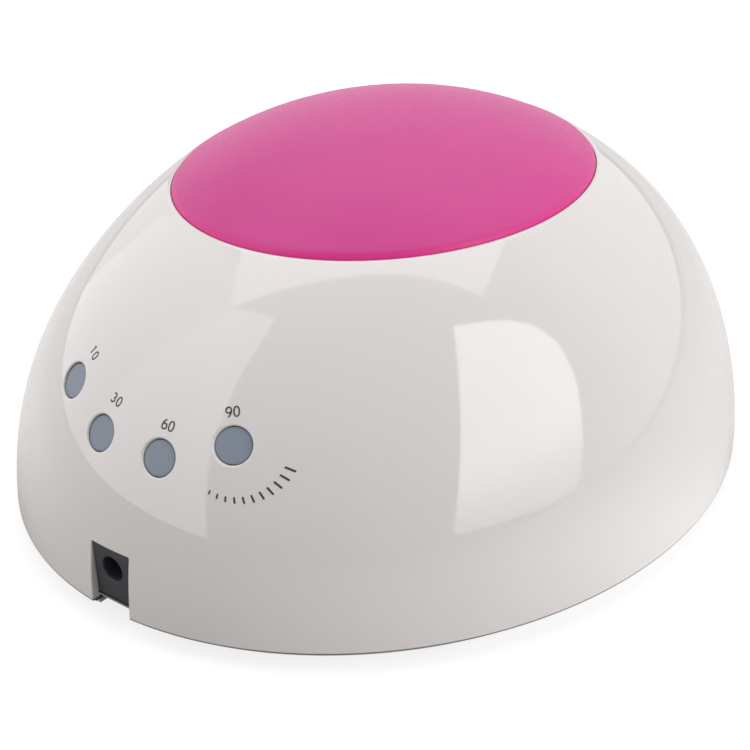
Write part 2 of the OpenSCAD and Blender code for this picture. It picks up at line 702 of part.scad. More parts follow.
base_plate();
plate_feet();
outer_shell();
top_pad();
inner_reflector();
opening_trim();
bottom_ring();
ring_screws();
ring_magnets();
jack_plate();
jack_body();
jack_centre_pin();
jack_contacts();
jack_board();
power_wires();
main_board();
main_board_screws();
controller_chip();
driver_transistors();
filter_capacitors();
choke_coil();
board_sockets();
button_board();
button_board_screws();
switch_cases();
button_ribbon();
button_cap_10();
button_cap_30();
button_cap_60();
button_cap_90();
switch_plunger_10();
switch_plunger_30();
switch_plunger_60();
switch_plunger_90();
led_plate_top();
led_strip_upper();
led_strip_lower();
led_chips_top();
led_chips_upper();
led_chips_lower();
led_lenses_top();
led_lenses_upper();
led_lenses_lower();
led_plate_screws();
led_wires();
sensor_board();
sensor_emitter();
sensor_receiver();
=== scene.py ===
# A hand lamp: a white domed shell with an arched hand opening on its -Y side, and a socket
# notch and four timer buttons on its +Y side. A pink pad lies on top, a lamp-lined reflector
# inside, and a base plate with feet below. X runs across, Z up, and the dome is centred near
# the origin. Shapes are worked out in mm; skins are described by (angle, z), where the angle
# turns round Z from +X and z is the height above the dome's bottom edge.
import math

import bpy
import numpy as np
from mathutils import Matrix, Vector
from mathutils.geometry import delaunay_2d_cdt


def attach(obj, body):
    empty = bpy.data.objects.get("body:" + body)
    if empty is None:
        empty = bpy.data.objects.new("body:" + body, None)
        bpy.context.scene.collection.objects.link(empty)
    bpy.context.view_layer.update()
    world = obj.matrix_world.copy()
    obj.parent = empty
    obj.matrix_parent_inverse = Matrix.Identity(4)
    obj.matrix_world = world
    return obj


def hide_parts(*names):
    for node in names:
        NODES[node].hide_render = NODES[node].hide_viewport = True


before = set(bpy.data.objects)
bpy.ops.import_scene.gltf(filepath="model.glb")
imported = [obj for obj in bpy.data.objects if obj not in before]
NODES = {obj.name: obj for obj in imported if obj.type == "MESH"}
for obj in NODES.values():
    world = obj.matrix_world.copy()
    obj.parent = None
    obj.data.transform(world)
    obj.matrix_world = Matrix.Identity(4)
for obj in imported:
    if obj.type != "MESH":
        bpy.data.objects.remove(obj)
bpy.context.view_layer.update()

MM = 0.001
DEG = math.pi / 180.0
X_AXIS, Y_AXIS, Z_AXIS = np.eye(3)
EDGE_Z = 4.5                  # height of the dome's bottom edge above the floor


# ---------------------------------------------------------------- surfaces
def unit(v):
    return v / np.maximum(np.linalg.norm(v, axis=-1, keepdims=True), 1e-12)


def cross2(p, q):
    return p[..., 0] * q[..., 1] - p[..., 1] * q[..., 0]


def oval(angle, half_x, half_y, centre_y, z):
    """Points of a level ellipse."""
    x = half_x * np.cos(angle)
    return np.stack([x, centre_y + half_y * np.sin(angle), EDGE_Z + z + 0 * x], -1)


def conic(start, corner, end, s, weight=math.sqrt(0.5)):
    """Point at s (0 to 1) of a rounded corner; a greater weight draws it nearer the corner."""
    w0, w1, w2 = (1 - s) ** 2, 2 * s * (1 - s) * weight, s * s
    return (w0 * start + w1 * corner + w2 * end) / (w0 + w1 + w2)


class Ovals:
    """A skin of stacked level ellipses, one for each height z."""
    LEAN_HEIGHT = 92.2        # the centre moves by `lean` in Y over this height

    def __init__(self, x_curve, y_curve, height, centre, lean):
        # each curve: half-width at the foot, power of the height, root
        self.x_curve, self.y_curve = x_curve, y_curve
        self.height, self.foot_centre, self.lean = height, centre, lean

    def taper(self, curve, z):
        foot, power, root = curve
        left = np.maximum(1 - np.maximum(z / self.height, 0.0) ** power, 1e-9)
        return foot * left ** (1 / root)

    def half_x(self, z):
        return self.taper(self.x_curve, z)

    def half_y(self, z):
        return self.taper(self.y_curve, z)

    def centre(self, z):
        return self.foot_centre + self.lean * z / self.LEAN_HEIGHT

    def at(self, angle, z):
        return oval(angle, self.half_x(z), self.half_y(z), self.centre(z), z)

    def normal(self, angle, z, level_below=0.0):
        """Outward unit normals, turned level towards the foot below the height level_below."""
        step = 0.01
        low, high = np.maximum(z - step, 0.0), z + step
        slope_x, slope_y, slope_c = ((f(high) - f(low)) / (high - low)
                                     for f in (self.half_x, self.half_y, self.centre))
        half_x, half_y = self.half_x(z), self.half_y(z)
        cosine, sine = np.cos(angle), np.sin(angle)
        up = (-half_x * sine * (slope_c + slope_y * sine)
              - half_y * slope_x * cosine * cosine)
        if level_below > 0:
            up = up * np.clip(z / level_below, 0, 1)
        normal = np.stack([half_y * cosine, half_x * sine, up], -1)
        return normal / np.linalg.norm(normal, axis=-1, keepdims=True)


DOME = Ovals((91.5, 1.787, 1.983), (101.5, 2.496, 1.525), height=92.2, centre=0.0, lean=-5.95)
BOWL = Ovals((77.0, 2.4, 2.2), (84.0, 2.6, 2.0), height=72.0, centre=-7.5, lean=-1.5)


def dome_in(angle, z):
    """Inside of the shell: a 2.4 mm wall that thickens above z = 52."""
    wall = 2.4 + 1.5 * np.maximum(0, (z - 52) / 21)
    return DOME.at(angle, z) - wall[..., None] * DOME.normal(angle, z, 6.0)


def bowl_in(angle, z):
    """Inside of the reflector."""
    wall = 1.2 + 0.8 * (z / 62) ** 4
    return oval(angle, BOWL.half_x(z) - wall, BOWL.half_y(z) - wall, BOWL.centre(z), z)


def surface_normal(surface, params):
    """Normals of any surface, from small steps along it."""
    angle, z = params[:, 0], params[:, 1]
    round_step = surface(angle + 1e-4, z) - surface(angle - 1e-4, z)
    up_step = surface(angle, z + 1e-2) - surface(angle, np.maximum(z - 1e-2, 0))
    return unit(np.cross(round_step, up_step))


def solve(surface, axis1, axis2, goal1, goal2, angle, z):
    """(angle, z) where the surface has given coordinates along two axes, by Newton steps
    from the angle and z handed in."""
    angle = np.array(angle, float) + np.zeros_like(goal1)
    z = np.array(z, float) + np.zeros_like(goal1)
    step = 1e-3
    for _ in range(30):
        point = surface(angle, z)
        miss1, miss2 = point @ axis1 - goal1, point @ axis2 - goal2
        per_angle = (surface(angle + 1e-5, z) - surface(angle - 1e-5, z)) / 2e-5
        low = np.maximum(z - step, 0)
        per_z = (surface(angle, z + step) - surface(angle, low)) / (z + step - low)[..., None]
        angle1, z1 = per_angle @ axis1, per_z @ axis1
        angle2, z2 = per_angle @ axis2, per_z @ axis2
        det = angle1 * z2 - z1 * angle2
        angle_step = (z2 * miss1 - z1 * miss2) / det
        z_step = (angle1 * miss2 - angle2 * miss1) / det
        angle = angle - np.clip(angle_step, -0.2, 0.2)
        z = np.clip(z - np.clip(z_step, -8, 8), 0.0, None)
    return angle, z


def circle_on(surface, axis1, axis2, centre1, centre2, radius, count, angle, z):
    """(angle, z) of a circle projected on to a surface; the loop runs clockwise."""
    turn = -np.linspace(0, 2 * np.pi, count, endpoint=False)
    goal1, goal2 = centre1 + radius * np.cos(turn), centre2 + radius * np.sin(turn)
    return np.stack(solve(surface, axis1, axis2, goal1, goal2, angle, z), -1)


# ---------------------------------------------------------------- meshes
class Build:
    """Collects vertices, faces and the corner normals that are known exactly."""

    def __init__(self):
        self.points, self.faces, self.normals = [], [], []
        self.count = 0

    def verts(self, points):
        points = np.asarray(points, float).reshape(-1, 3)
        self.points.append(points)
        first = self.count
        self.count += len(points)
        return np.arange(first, self.count)

    def face(self, ids, normals=None):
        self.faces.append(tuple(int(i) for i in ids))
        self.normals.append(normals)

    def strip(self, row, new, row_normals=None, new_normals=None, closed=True, flip=False):
        """Quads between two rows; `row` runs against the faces it joins on to."""
        count = len(row)
        for i in range(count if closed else count - 1):
            j = (i + 1) % count
            quad = [row[j], row[i], new[i], new[j]]
            normals = None
            if row_normals is not None:
                normals = [row_normals[j], row_normals[i], new_normals[i], new_normals[j]]
            if flip:
                quad = quad[::-1]
                normals = normals and normals[::-1]
            self.face(quad, normals)

    def extend(self, last, rows, last_normals=None, normals=None, closed=True, flip=False):
        """Joins rows of new points on to the row `last`; gives the end row and its normals."""
        for k, points in enumerate(rows):
            new = self.verts(points)
            new_normals = None if normals is None else normals[k]
            self.strip(last, new, last_normals, new_normals, closed, flip)
            last, last_normals = new, new_normals
        return last, last_normals

    def loft(self, rows, flip=False):
        """Skin over a list of rings; gives its first and last rows."""
        first = self.verts(rows[0])
        return first, self.extend(first, rows[1:], flip=flip)[0]

    def fan(self, ring, centre, flip=False):
        for i in range(len(ring)):
            triangle = [ring[(i + 1) % len(ring)], ring[i], centre[0]]
            self.face(triangle[::-1] if flip else triangle)

    def object(self, name, sharp):
        """Makes the object; edges that bend more than `sharp` degrees are sharp."""
        mesh = bpy.data.meshes.new(name)
        mesh.from_pydata((np.concatenate(self.points) * MM).tolist(), [], self.faces)
        mesh.validate(clean_customdata=False)
        mesh.update()
        mesh.shade_smooth()
        mesh.set_sharp_from_angle(angle=sharp * DEG)
        # the corner normals only line up if validate dropped no face
        if any(n is not None for n in self.normals) and len(mesh.polygons) == len(self.faces):
            corners = []
            for face, normals in zip(self.faces, self.normals):
                if normals is None:
                    corners += [(0.0, 0.0, 0.0)] * len(face)
                else:
                    corners += [tuple(float(c) for c in v) for v in normals]
            mesh.normals_split_custom_set(corners)
        return link_object(name, mesh)


def link_object(name, data):
    obj = bpy.data.objects.new(name, data)
    bpy.context.scene.collection.objects.link(obj)
    return obj


def inside(outline, points):
    """Even-odd test of many points against one outline."""
    x, y = points[:, 0], points[:, 1]
    result = np.zeros(len(points), bool)
    for (x1, y1), (x2, y2) in zip(outline, np.roll(outline, -1, axis=0)):
        if y1 == y2:
            continue
        crosses = (y1 > y) != (y2 > y)
        if crosses.any():
            result ^= crosses & (x < (x2 - x1) * (y - y1) / (y2 - y1) + x1)
    return result


def triangulate(outline, holes, spare):
    """Triangles inside the outline and outside the holes; they index the outline's points,
    then each hole's, then the spare points."""
    points, edges = [], []
    for loop in (outline, *holes):
        first, count = len(points), len(loop)
        points += [Vector(p) for p in loop]
        edges += [(first + i, first + (i + 1) % count) for i in range(count)]
    points += [Vector(p) for p in spare]
    made, _, faces, origins, _, _ = delaunay_2d_cdt(points, edges, [], 0, 1e-7)
    source = [ids[0] if ids else -1 for ids in origins]
    xy = np.array([tuple(p) for p in points])
    triangles = np.array([[source[i] for i in face] for face in faces])
    middle = xy[triangles].mean(1)
    keep = inside(np.array(outline), middle)
    for hole in holes:
        keep &= ~inside(np.array(hole), middle)
    triangles = triangles[keep]
    corner = xy[triangles]
    area = cross2(corner[:, 1] - corner[:, 0], corner[:, 2] - corner[:, 0])
    triangles[area < 0] = triangles[area < 0][:, ::-1]
    return triangles[np.abs(area) > 1e-10]


class Sheet:
    """Triangulated skin over (angle, z) with its seam at -Y, cut by an edge and round holes.

    edge runs from the seam along the whole lower boundary back to the seam, and rings are
    extra loops of points round the holes."""
    MEAN_RADIUS = 92.0        # turns angles into lengths along the skin

    def __init__(self, surface, ovals, edge, holes, top_z, seam_steps, top_steps, step,
                 rings=()):
        heights = np.linspace(0, 80, 801)
        self.heights = heights = heights[heights < ovals.height - 0.2]
        mean = (ovals.half_x(heights) + ovals.half_y(heights)) / 2
        self.lengths = np.r_[0, np.cumsum(np.hypot(np.diff(heights), np.diff(mean)))]
        low, high = -math.pi / 2, 1.5 * math.pi
        ends = np.interp((edge[-1, 1], top_z), heights, self.lengths)
        seam_z = np.interp(np.linspace(*ends, seam_steps + 1), self.lengths, heights)[1:-1]
        up = np.stack([np.full_like(seam_z, high), seam_z], -1)
        top = np.stack([np.linspace(high, low, top_steps + 1),
                        np.full(top_steps + 1, top_z)], -1)
        down = np.stack([np.full_like(seam_z, low), seam_z[::-1]], -1)
        outline = np.concatenate([edge, up, top, down])
        flat_outline = self.flatten(outline)
        flat_holes = [self.flatten(hole) for hole in holes]
        spare = np.concatenate([np.zeros((0, 2))] + [self.flatten(ring) for ring in rings])
        spare = np.concatenate([spare, self.grid(flat_outline, flat_holes, spare, step)])
        triangles = triangulate(flat_outline, flat_holes, spare)
        params = np.concatenate([outline, *holes, self.unflatten(spare)])

        # the seam's two sides become one
        top_start = len(edge) + len(up)
        top_end = top_start + len(top)
        merged = np.arange(len(params))
        merged[0] = len(edge) - 1
        merged[top_end:len(outline)] = np.arange(top_start - 1, len(edge) - 1, -1)
        merged[top_end - 1] = top_start
        triangles = merged[triangles]
        used = np.unique(triangles)
        new = -np.ones(len(params), int)
        new[used] = np.arange(len(used))
        self.triangles = new[triangles]
        self.params = params[used]
        self.points = surface(self.params[:, 0], self.params[:, 1])
        self.normals = ovals.normal(self.params[:, 0], self.params[:, 1])
        self.edge = new[merged[:len(edge)]][:-1]
        self.top = new[merged[top_start:top_end]][:-1]
        self.holes = []
        first = len(outline)
        for hole in holes:
            self.holes.append(new[first:first + len(hole)])
            first += len(hole)

    def flatten(self, params):
        return np.stack([params[:, 0] * self.MEAN_RADIUS,
                         np.interp(params[:, 1], self.heights, self.lengths)], -1)

    def unflatten(self, flat):
        return np.stack([flat[:, 0] / self.MEAN_RADIUS,
                         np.interp(flat[:, 1], self.lengths, self.heights)], -1)

    def grid(self, outline, holes, rings, step):
        """Even staggered rows of points that keep clear of the outline, holes and rings."""
        x_min, x_max = outline[:, 0].min(), outline[:, 0].max()
        top = outline[:, 1].max()
        columns = int(round((x_max - x_min) / step))
        rows = int(top / (step * 0.866))
        pitch_x, pitch_y = (x_max - x_min) / columns, top / rows
        grid = np.concatenate([
            np.stack([x_min + pitch_x * (np.arange(columns) + 0.5 * (j % 2)),
                      np.full(columns, pitch_y * j)], -1) for j in range(rows + 1)])
        grid = grid[(grid[:, 0] > x_min + 0.5 * step) & (grid[:, 0] < x_max - 0.5 * step)]
        grid = grid[inside(outline, grid)]
        near = np.concatenate([outline, *holes, rings])
        keep = np.ones(len(grid), bool)
        for i in range(0, len(grid), 2000):      # in parts, to save memory
            gap = grid[i:i + 2000, None] - near[None]
            keep[i:i + 2000] = np.sqrt((gap ** 2).sum(-1)).min(1) > 0.62 * step
        for hole in holes:
            centre = hole.mean(0)
            radius = np.linalg.norm(hole - centre, axis=1).max()
            keep &= np.linalg.norm(grid - centre, axis=1) > radius
        return grid[keep]

    def add_to(self, build, normals, flip=False):
        """Adds the skin to a mesh and gives the ids of its vertices."""
        ids = build.verts(self.points)
        for triangle in self.triangles:
            if flip:
                triangle = triangle[::-1]
            build.face(ids[triangle], [normals[i] for i in triangle])
        return ids


def round_over(start, corner, end, start_normals, wall, count=5):
    """Rows and normals of an edge rounded from `start` on the skin, round the sharp corner,
    to `end` on a wall that runs along the directions `wall`."""
    to_corner = corner - start
    end_normals = unit(to_corner - (to_corner * wall).sum(-1, keepdims=True) * wall)
    rows, normals = [], []
    for i in range(1, count + 1):
        s = i / count
        row = conic(start, corner, end, s)
        along = unit(row - conic(start, corner, end, s - 1e-4))
        normal = start_normals * (1 - s) + end_normals * s
        rows.append(row)
        normals.append(unit(normal - (normal * along).sum(-1, keepdims=True) * along))
    normals[-1] = end_normals
    return rows, normals


# ---------------------------------------------------------------- the shell
ARCH_X, ARCH_Z = 66.0, 50.0   # half-width and height of the hand opening
LINING = 2.0                  # thickness of the opening's lining
LINING_GAP = 2.2              # what the shell and reflector leave for it
NOTCH_X, NOTCH_Z = 6.0, 16.1  # half-width and height of the socket notch

# The buttons' frame: X, DOWN the shell and OUT of it
DOWN = np.array([0, 0.5, -math.sqrt(0.75)])
OUT = np.array([0, math.sqrt(0.75), 0.5])
BUTTON_HOLE_R = 4.35
STEM_END = 85.2584 + 4.4      # place of the stems' tips along OUT
# place along X, DOWN and OUT; height z near the hole; depth of the flange below the place
BUTTONS = {
    "10": (25.0, -0.947775, 96.1584, 44.4, 5.6),
    "30": (9.2, 7.25791, 100.071, 39.25, 3.5),
    "60": (-9.2, 7.25791, 100.071, 39.25, 3.5),
    "90": (-25.0, -0.947775, 96.1584, 44.4, 5.6),
}

RIM_Z = 74.0                  # the rim round the pad lies where the dome has this height
RIM_X, RIM_Y, RIM_CENTRE = DOME.half_x(RIM_Z), DOME.half_y(RIM_Z), DOME.centre(RIM_Z)
DECK = -1.8                   # crowned deck under the pad, from the rim
CEILING = -4.1                # its underside


def crown_z(scale):
    """Height of the crown over the rim, at a share of the way out from its middle."""
    return 14.4 * (1 - scale ** 2.385)


def rim_ring(angle, grow, lift):
    return oval(angle, RIM_X + grow, RIM_Y + grow, RIM_CENTRE, RIM_Z + lift)


def crown_ring(angle, scale, lift):
    return oval(angle, RIM_X * scale, RIM_Y * scale, RIM_CENTRE,
                RIM_Z + lift + crown_z(scale))


def crown_peak(lift):
    return crown_ring(np.zeros(1), 0.0, lift)


def arch_unit(angle):
    """Outline of the hand opening with half-width and height 1."""
    cosine = np.cos(angle)
    return np.sign(cosine) * np.abs(cosine) ** (2 / 3), np.sin(angle) ** (2 / 3)


def resample(points, places):
    """Points of a polyline at `places` even steps of its length."""
    length = np.r_[0, np.cumsum(np.linalg.norm(np.diff(points, axis=0), axis=1))]
    even = np.linspace(0, length[-1], places + 1)
    return np.stack([np.interp(even, length, points[:, k]) for k in range(2)], -1)


def arch_half(surface, grow, low, steps, spread):
    """Angle and z of the grown opening's +X half, from its top down to z = low."""
    low_angle = math.asin((low / (ARCH_Z + grow)) ** 1.5)
    x, z = arch_unit(np.linspace(math.pi / 2, low_angle, 600))
    x, z = (ARCH_X + grow) * x, (ARCH_Z + grow) * z
    x[0] = 0.0
    curve = resample(np.stack([x, z], -1), steps)
    start = -np.pi / 2 + np.linspace(0, spread, len(curve))
    angle, z = solve(surface, X_AXIS, Z_AXIS, curve[:, 0], EDGE_Z + curve[:, 1],
                     start, curve[:, 1])
    angle[0] = -math.pi / 2
    z[-1] = low
    return angle, z


def notch_curve(grow, low):
    """X and z round the grown socket notch, from its foot at +X to its foot at -X."""
    corner = 0.35
    centre_x, centre_z = NOTCH_X - corner, NOTCH_Z - corner
    side = [(NOTCH_X + grow, low + (centre_z - low) * i / 13) for i in range(14)]
    arc = [(centre_x + (corner + grow) * math.cos(a * DEG),
            centre_z + (corner + grow) * math.sin(a * DEG)) for a in (15, 30, 45, 60, 75, 90)]
    top = [(centre_x * (1 - 2 * i / 11), NOTCH_Z + grow) for i in range(1, 11)]
    return np.array(side + arc + top + [(-x, z) for x, z in (side + arc)[::-1]])


ARCH, CORNER, FOOT, NOTCH = range(4)     # parts of the shell's lower boundary


def shell_edge(surface, arch_grow, low):
    """(angle, z) along the shell's whole lower boundary, and the part each point is on."""
    foot_steps = 88
    angle, z = arch_half(surface, arch_grow, low, steps=70, spread=0.85)
    notch = notch_curve(arch_grow - LINING_GAP, low)
    notch_angle, notch_z = solve(surface, X_AXIS, Z_AXIS, notch[:, 0], EDGE_Z + notch[:, 1],
                                 np.pi / 2 - notch[:, 0] / 91, notch[:, 1])
    notch_z[0] = notch_z[-1] = low
    foot1 = np.linspace(angle[-1], notch_angle[0], foot_steps + 1)[1:-1]
    foot2 = np.linspace(notch_angle[-1], math.pi - angle[-1], foot_steps + 1)[1:-1]
    foot_z = np.full(len(foot1), low)
    angles = np.r_[angle, foot1, notch_angle, foot2, (math.pi - angle)[::-1]]
    heights = np.r_[z, foot_z, notch_z, foot_z, z[::-1]]
    arch, foot = len(angle) - 1, len(foot1)
    parts = np.repeat([ARCH, CORNER, FOOT, NOTCH, FOOT, CORNER, ARCH],
                      [arch, 1, foot, len(notch), foot, 1, arch])
    return np.stack([angles, heights], -1), parts


def button_loop(surface, key, radius, count):
    x, down, _, z, _ = BUTTONS[key]
    return circle_on(surface, X_AXIS, DOWN, x, down, radius, count, math.acos(x / 82.0), z)


def make_shell():
    build = Build()
    edge_r, hole_r, rim_r = 0.35, 0.5, 0.3       # roundings
    hole_steps = 72
    start_edge, _ = shell_edge(DOME.at, LINING_GAP + edge_r, edge_r)
    corner_edge, parts = shell_edge(DOME.at, LINING_GAP, 0.0)
    inner_edge, _ = shell_edge(dome_in, LINING_GAP, 0.0)

    def holes(surface, radius):
        return [button_loop(surface, key, radius, hole_steps) for key in BUTTONS]

    outer_rings = [button_loop(DOME.at, key, radius, count)
                   for key in BUTTONS for radius, count in ((5.3, 56), (6.4, 44))]
    inner_rings = [button_loop(dome_in, key, 5.6, 40) for key in BUTTONS]
    outer = Sheet(DOME.at, DOME, start_edge, holes(DOME.at, BUTTON_HOLE_R + hole_r),
                  top_z=73.78, seam_steps=12, top_steps=256, step=2.4, rings=outer_rings)
    inner = Sheet(dome_in, DOME, inner_edge, holes(dome_in, BUTTON_HOLE_R),
                  top_z=73.0, seam_steps=12, top_steps=256, step=3.2, rings=inner_rings)
    outer_ids = outer.add_to(build, outer.normals)
    inner_ids = inner.add_to(build, -inner.normals, flip=True)

    def wall(outer_row, corner_params, along, inner_row, radius):
        """Rounds the skin's edge and runs a wall from it to the inner skin."""
        start, start_normals = outer.points[outer_row], outer.normals[outer_row]
        corner = DOME.at(corner_params[:, 0], corner_params[:, 1])
        rows, normals = round_over(start, corner, corner + radius * along,
                                   start_normals, along)
        last, last_normals = build.extend(outer_ids[outer_row], rows, start_normals, normals)
        build.strip(last, inner_ids[inner_row], last_normals, last_normals)

    # the wall runs inwards: along Y at the arch and the notch, level at the foot
    corner_edge, parts = corner_edge[:-1], parts[:-1]
    inward = -unit(DOME.normal(corner_edge[:, 0], corner_edge[:, 1]) * np.array([1, 1, 0]))
    along = np.zeros((len(corner_edge), 3))
    along[parts == ARCH] = Y_AXIS
    along[parts == FOOT] = inward[parts == FOOT]
    along[parts == NOTCH] = -Y_AXIS
    along[parts == CORNER] = unit(inward[parts == CORNER] + Y_AXIS)
    wall(outer.edge, corner_edge, along, inner.edge, edge_r)
    for i, corner_loop in enumerate(holes(DOME.at, BUTTON_HOLE_R)):
        wall(outer.holes[i], corner_loop, np.tile(-OUT, (hole_steps, 1)), inner.holes[i],
             hole_r)

    # the rim's rounding, its land and the wall down to the deck
    angle = outer.params[outer.top][:, 0]
    corner = rim_ring(angle, 0, 0)
    inward = unit(rim_ring(angle, -1, 0) - corner)
    up = np.tile(Z_AXIS, (len(angle), 1))
    start_normals = outer.normals[outer.top]
    rows, normals = round_over(outer.points[outer.top], corner, corner + rim_r * inward,
                               start_normals, inward)
    last, _ = build.extend(outer_ids[outer.top], rows, start_normals, normals)
    # growth of the rim, lift, and how far the normal has turned from up to inward
    land = ((-0.62, 0, 0), (-0.70, -0.016, 0.35), (-0.765, -0.065, 0.7),
            (-0.80, -0.18, 1.0), (-0.80, -1.1, 1.0))
    last, _ = build.extend(last, [rim_ring(angle, grow, lift) for grow, lift, _ in land], up,
                           [unit(up * (1 - turn) + inward * turn) for _, _, turn in land])
    deck = (0.9835, 0.95, 0.9, 0.84, 0.76, 0.68, 0.58, 0.48, 0.37, 0.25, 0.13, 0.04)
    last, _ = build.extend(last, [crown_ring(angle, scale, DECK) for scale in deck])
    build.fan(last, build.verts(crown_peak(DECK)))

    angle = inner.params[inner.top][:, 0]
    ceiling = (0.93, 0.86, 0.76, 0.66, 0.54, 0.42, 0.3, 0.17, 0.05)
    last, _ = build.extend(inner_ids[inner.top],
                           [crown_ring(angle, scale, CEILING) for scale in ceiling],
                           flip=True)
    build.fan(last, build.verts(crown_peak(CEILING)), flip=True)
    return build.object("shell_body", sharp=32)


def make_pad():
    """Pad: near-upright side, a generous rounded edge and a crowned top."""
    build = Build()
    angle = np.linspace(0, 2 * np.pi, 256, endpoint=False)[::-1]
    under, over = 0.15 + DECK, 0.1       # lifts of the underside and top from the crown
    side_grow, side_top = -1.0, -0.1     # the side's place from the rim and its top
    reach = 1.35                         # how far in the rounded edge meets the crown

    def below_crown(grow, depth):
        return grow, crown_z(1 + grow / RIM_X) - depth

    side = [below_crown(-1.35, 1.65), below_crown(-1.12, 1.62), below_crown(side_grow, 1.45),
            (side_grow, -0.55), (side_grow, -0.3)]
    # the edge leaves the side upright and meets the crown along its slope
    top_scale = 1 + (side_grow - reach) / RIM_X
    top_lift = crown_z(top_scale) + over
    slope = (crown_z(top_scale - 1e-4) - crown_z(top_scale + 1e-4)) / (2e-4 * RIM_X)
    start = np.array([side_grow, side_top])
    corner = np.array([side_grow, top_lift - slope * reach])
    end = np.array([side_grow - reach, top_lift])
    side += [conic(start, corner, end, i / 12, weight=0.82) for i in range(13)]
    bottom = (0.03, 0.15, 0.3, 0.45, 0.6, 0.74, 0.86, 0.94)
    top = (0.975, 0.945, 0.9, 0.845, 0.785, 0.72, 0.65, 0.575, 0.5, 0.42, 0.34, 0.26, 0.18,
           0.1, 0.04)
    first, last = build.loft([crown_ring(angle, scale, under) for scale in bottom]
                             + [rim_ring(angle, grow, lift) for grow, lift in side]
                             + [crown_ring(angle, top_scale * f, over) for f in top])
    build.fan(first, build.verts(crown_peak(under)), flip=True)
    build.fan(last, build.verts(crown_peak(over)))
    return build.object("pad_cushion", sharp=50)


# ---------------------------------------------------------------- buttons
def tilted(x, down, out):
    """Points given in the buttons' frame."""
    return (np.asarray(x)[..., None] * X_AXIS + np.asarray(down)[..., None] * DOWN
            + np.asarray(out)[..., None] * OUT)


def on_dome(x, down, sink=0.0, drop=0.0):
    """Points over (x, down) on the dome moved inwards by `sink`, then lowered by `drop`."""
    def surface(angle, z):
        return DOME.at(angle, z) - sink * DOME.normal(angle, z)

    angle, z = solve(surface, X_AXIS, DOWN, x, down, np.arccos(x / 82.0),
                     44.0 - (down - 2.5) * 0.8)
    return tilted(x, down, surface(angle, z) @ OUT - drop)


def make_cap(key):
    """Button cap: a face that follows the dome, a rounded edge, a flange and a stem with a
    hollow tip."""
    build = Build()
    x, down, out, _, flange = BUTTONS[key]
    foot = out - STEM_END
    face_sink = 0.55
    cap_r, edge_r, stem_r = 4.2, 0.36, 1.9
    turn = np.linspace(0, 2 * np.pi, 72, endpoint=False)
    face = [(radius, 0.0) for radius in (0.5, 1.2, 1.9, 2.6, 3.2, 3.55, cap_r - edge_r)]
    face += [(cap_r - edge_r + edge_r * math.sin(a * DEG), edge_r * (1 - math.cos(a * DEG)))
             for a in (18, 36, 54, 72, 90)]
    # radius, height along OUT from the button's place
    side = [(cap_r, -flange + 0.25), (cap_r + 0.05, -flange + 0.08), (cap_r + 0.2, -flange),
            (cap_r + 0.95, -flange), (cap_r + 1.1, -flange - 0.15),
            (cap_r + 1.1, -flange - 0.85), (cap_r + 0.95, -flange - 1.0),
            (2.25, -flange - 1.0), (1.98, -flange - 1.12), (stem_r, -flange - 1.4),
            (stem_r, -foot + 0.2), (1.72, -foot), (0.9, -foot), (0.75, -foot + 0.5)]
    rows = [on_dome(x + radius * np.cos(turn), down + radius * np.sin(turn), face_sink, drop)
            for radius, drop in face]
    rows += [tilted(x + radius * np.cos(turn), down + radius * np.sin(turn), out + height)
             for radius, height in side]
    first, last = build.loft(rows)
    build.fan(first, build.verts(on_dome(np.array([x]), np.array([down]), face_sink)),
              flip=True)
    build.fan(last, build.verts(tilted(x, down, out - foot + 0.5)))
    return build.object("button_face_" + key, sharp=50)


# ---------------------------------------------------------------- printed marks
def dome_params(points):
    """(angle, z) of points on the dome."""
    z = np.clip(points[:, 2] - EDGE_Z, 0, 80)
    return np.arctan2((points[:, 1] - DOME.centre(z)) / DOME.half_y(z),
                      points[:, 0] / DOME.half_x(z)), z


def dome_level(points):
    """Below 0 inside the dome, 0 on it and above 0 outside."""
    z = np.clip(points[:, 2] - EDGE_Z, 0, 80)
    return ((points[:, 0] / DOME.half_x(z)) ** 2
            + ((points[:, 1] - DOME.centre(z)) / DOME.half_y(z)) ** 2 - 1)


def add_mark(build, origin, right, up, out, ribbons):
    """Thin closed ribbons on the dome, each given as (one side, other side, closed) in the
    plane of right and up."""
    lift, sink = 0.045, 0.03
    for left_side, right_side, closed in ribbons:
        rows = []
        for side, height in ((left_side, lift), (right_side, lift), (right_side, -sink),
                             (left_side, -sink)):
            points = origin + side[:, :1] * right + side[:, 1:] * up
            # slide along `out` on to the dome, then lift along the dome's normal
            for _ in range(8):
                level = dome_level(points)
                slope = (dome_level(points + 1e-3 * out) - level) / 1e-3
                points = points - (level / slope)[:, None] * out
            rows.append(build.verts(points + height * DOME.normal(*dome_params(points))))
        count = len(rows[0])
        for a, b in zip(rows, rows[1:] + rows[:1]):
            for i in range(count if closed else count - 1):
                j = (i + 1) % count
                build.face([a[i], b[i], b[j], a[j]])
        if not closed:
            build.face([row[0] for row in rows[::-1]])
            build.face([row[-1] for row in rows])


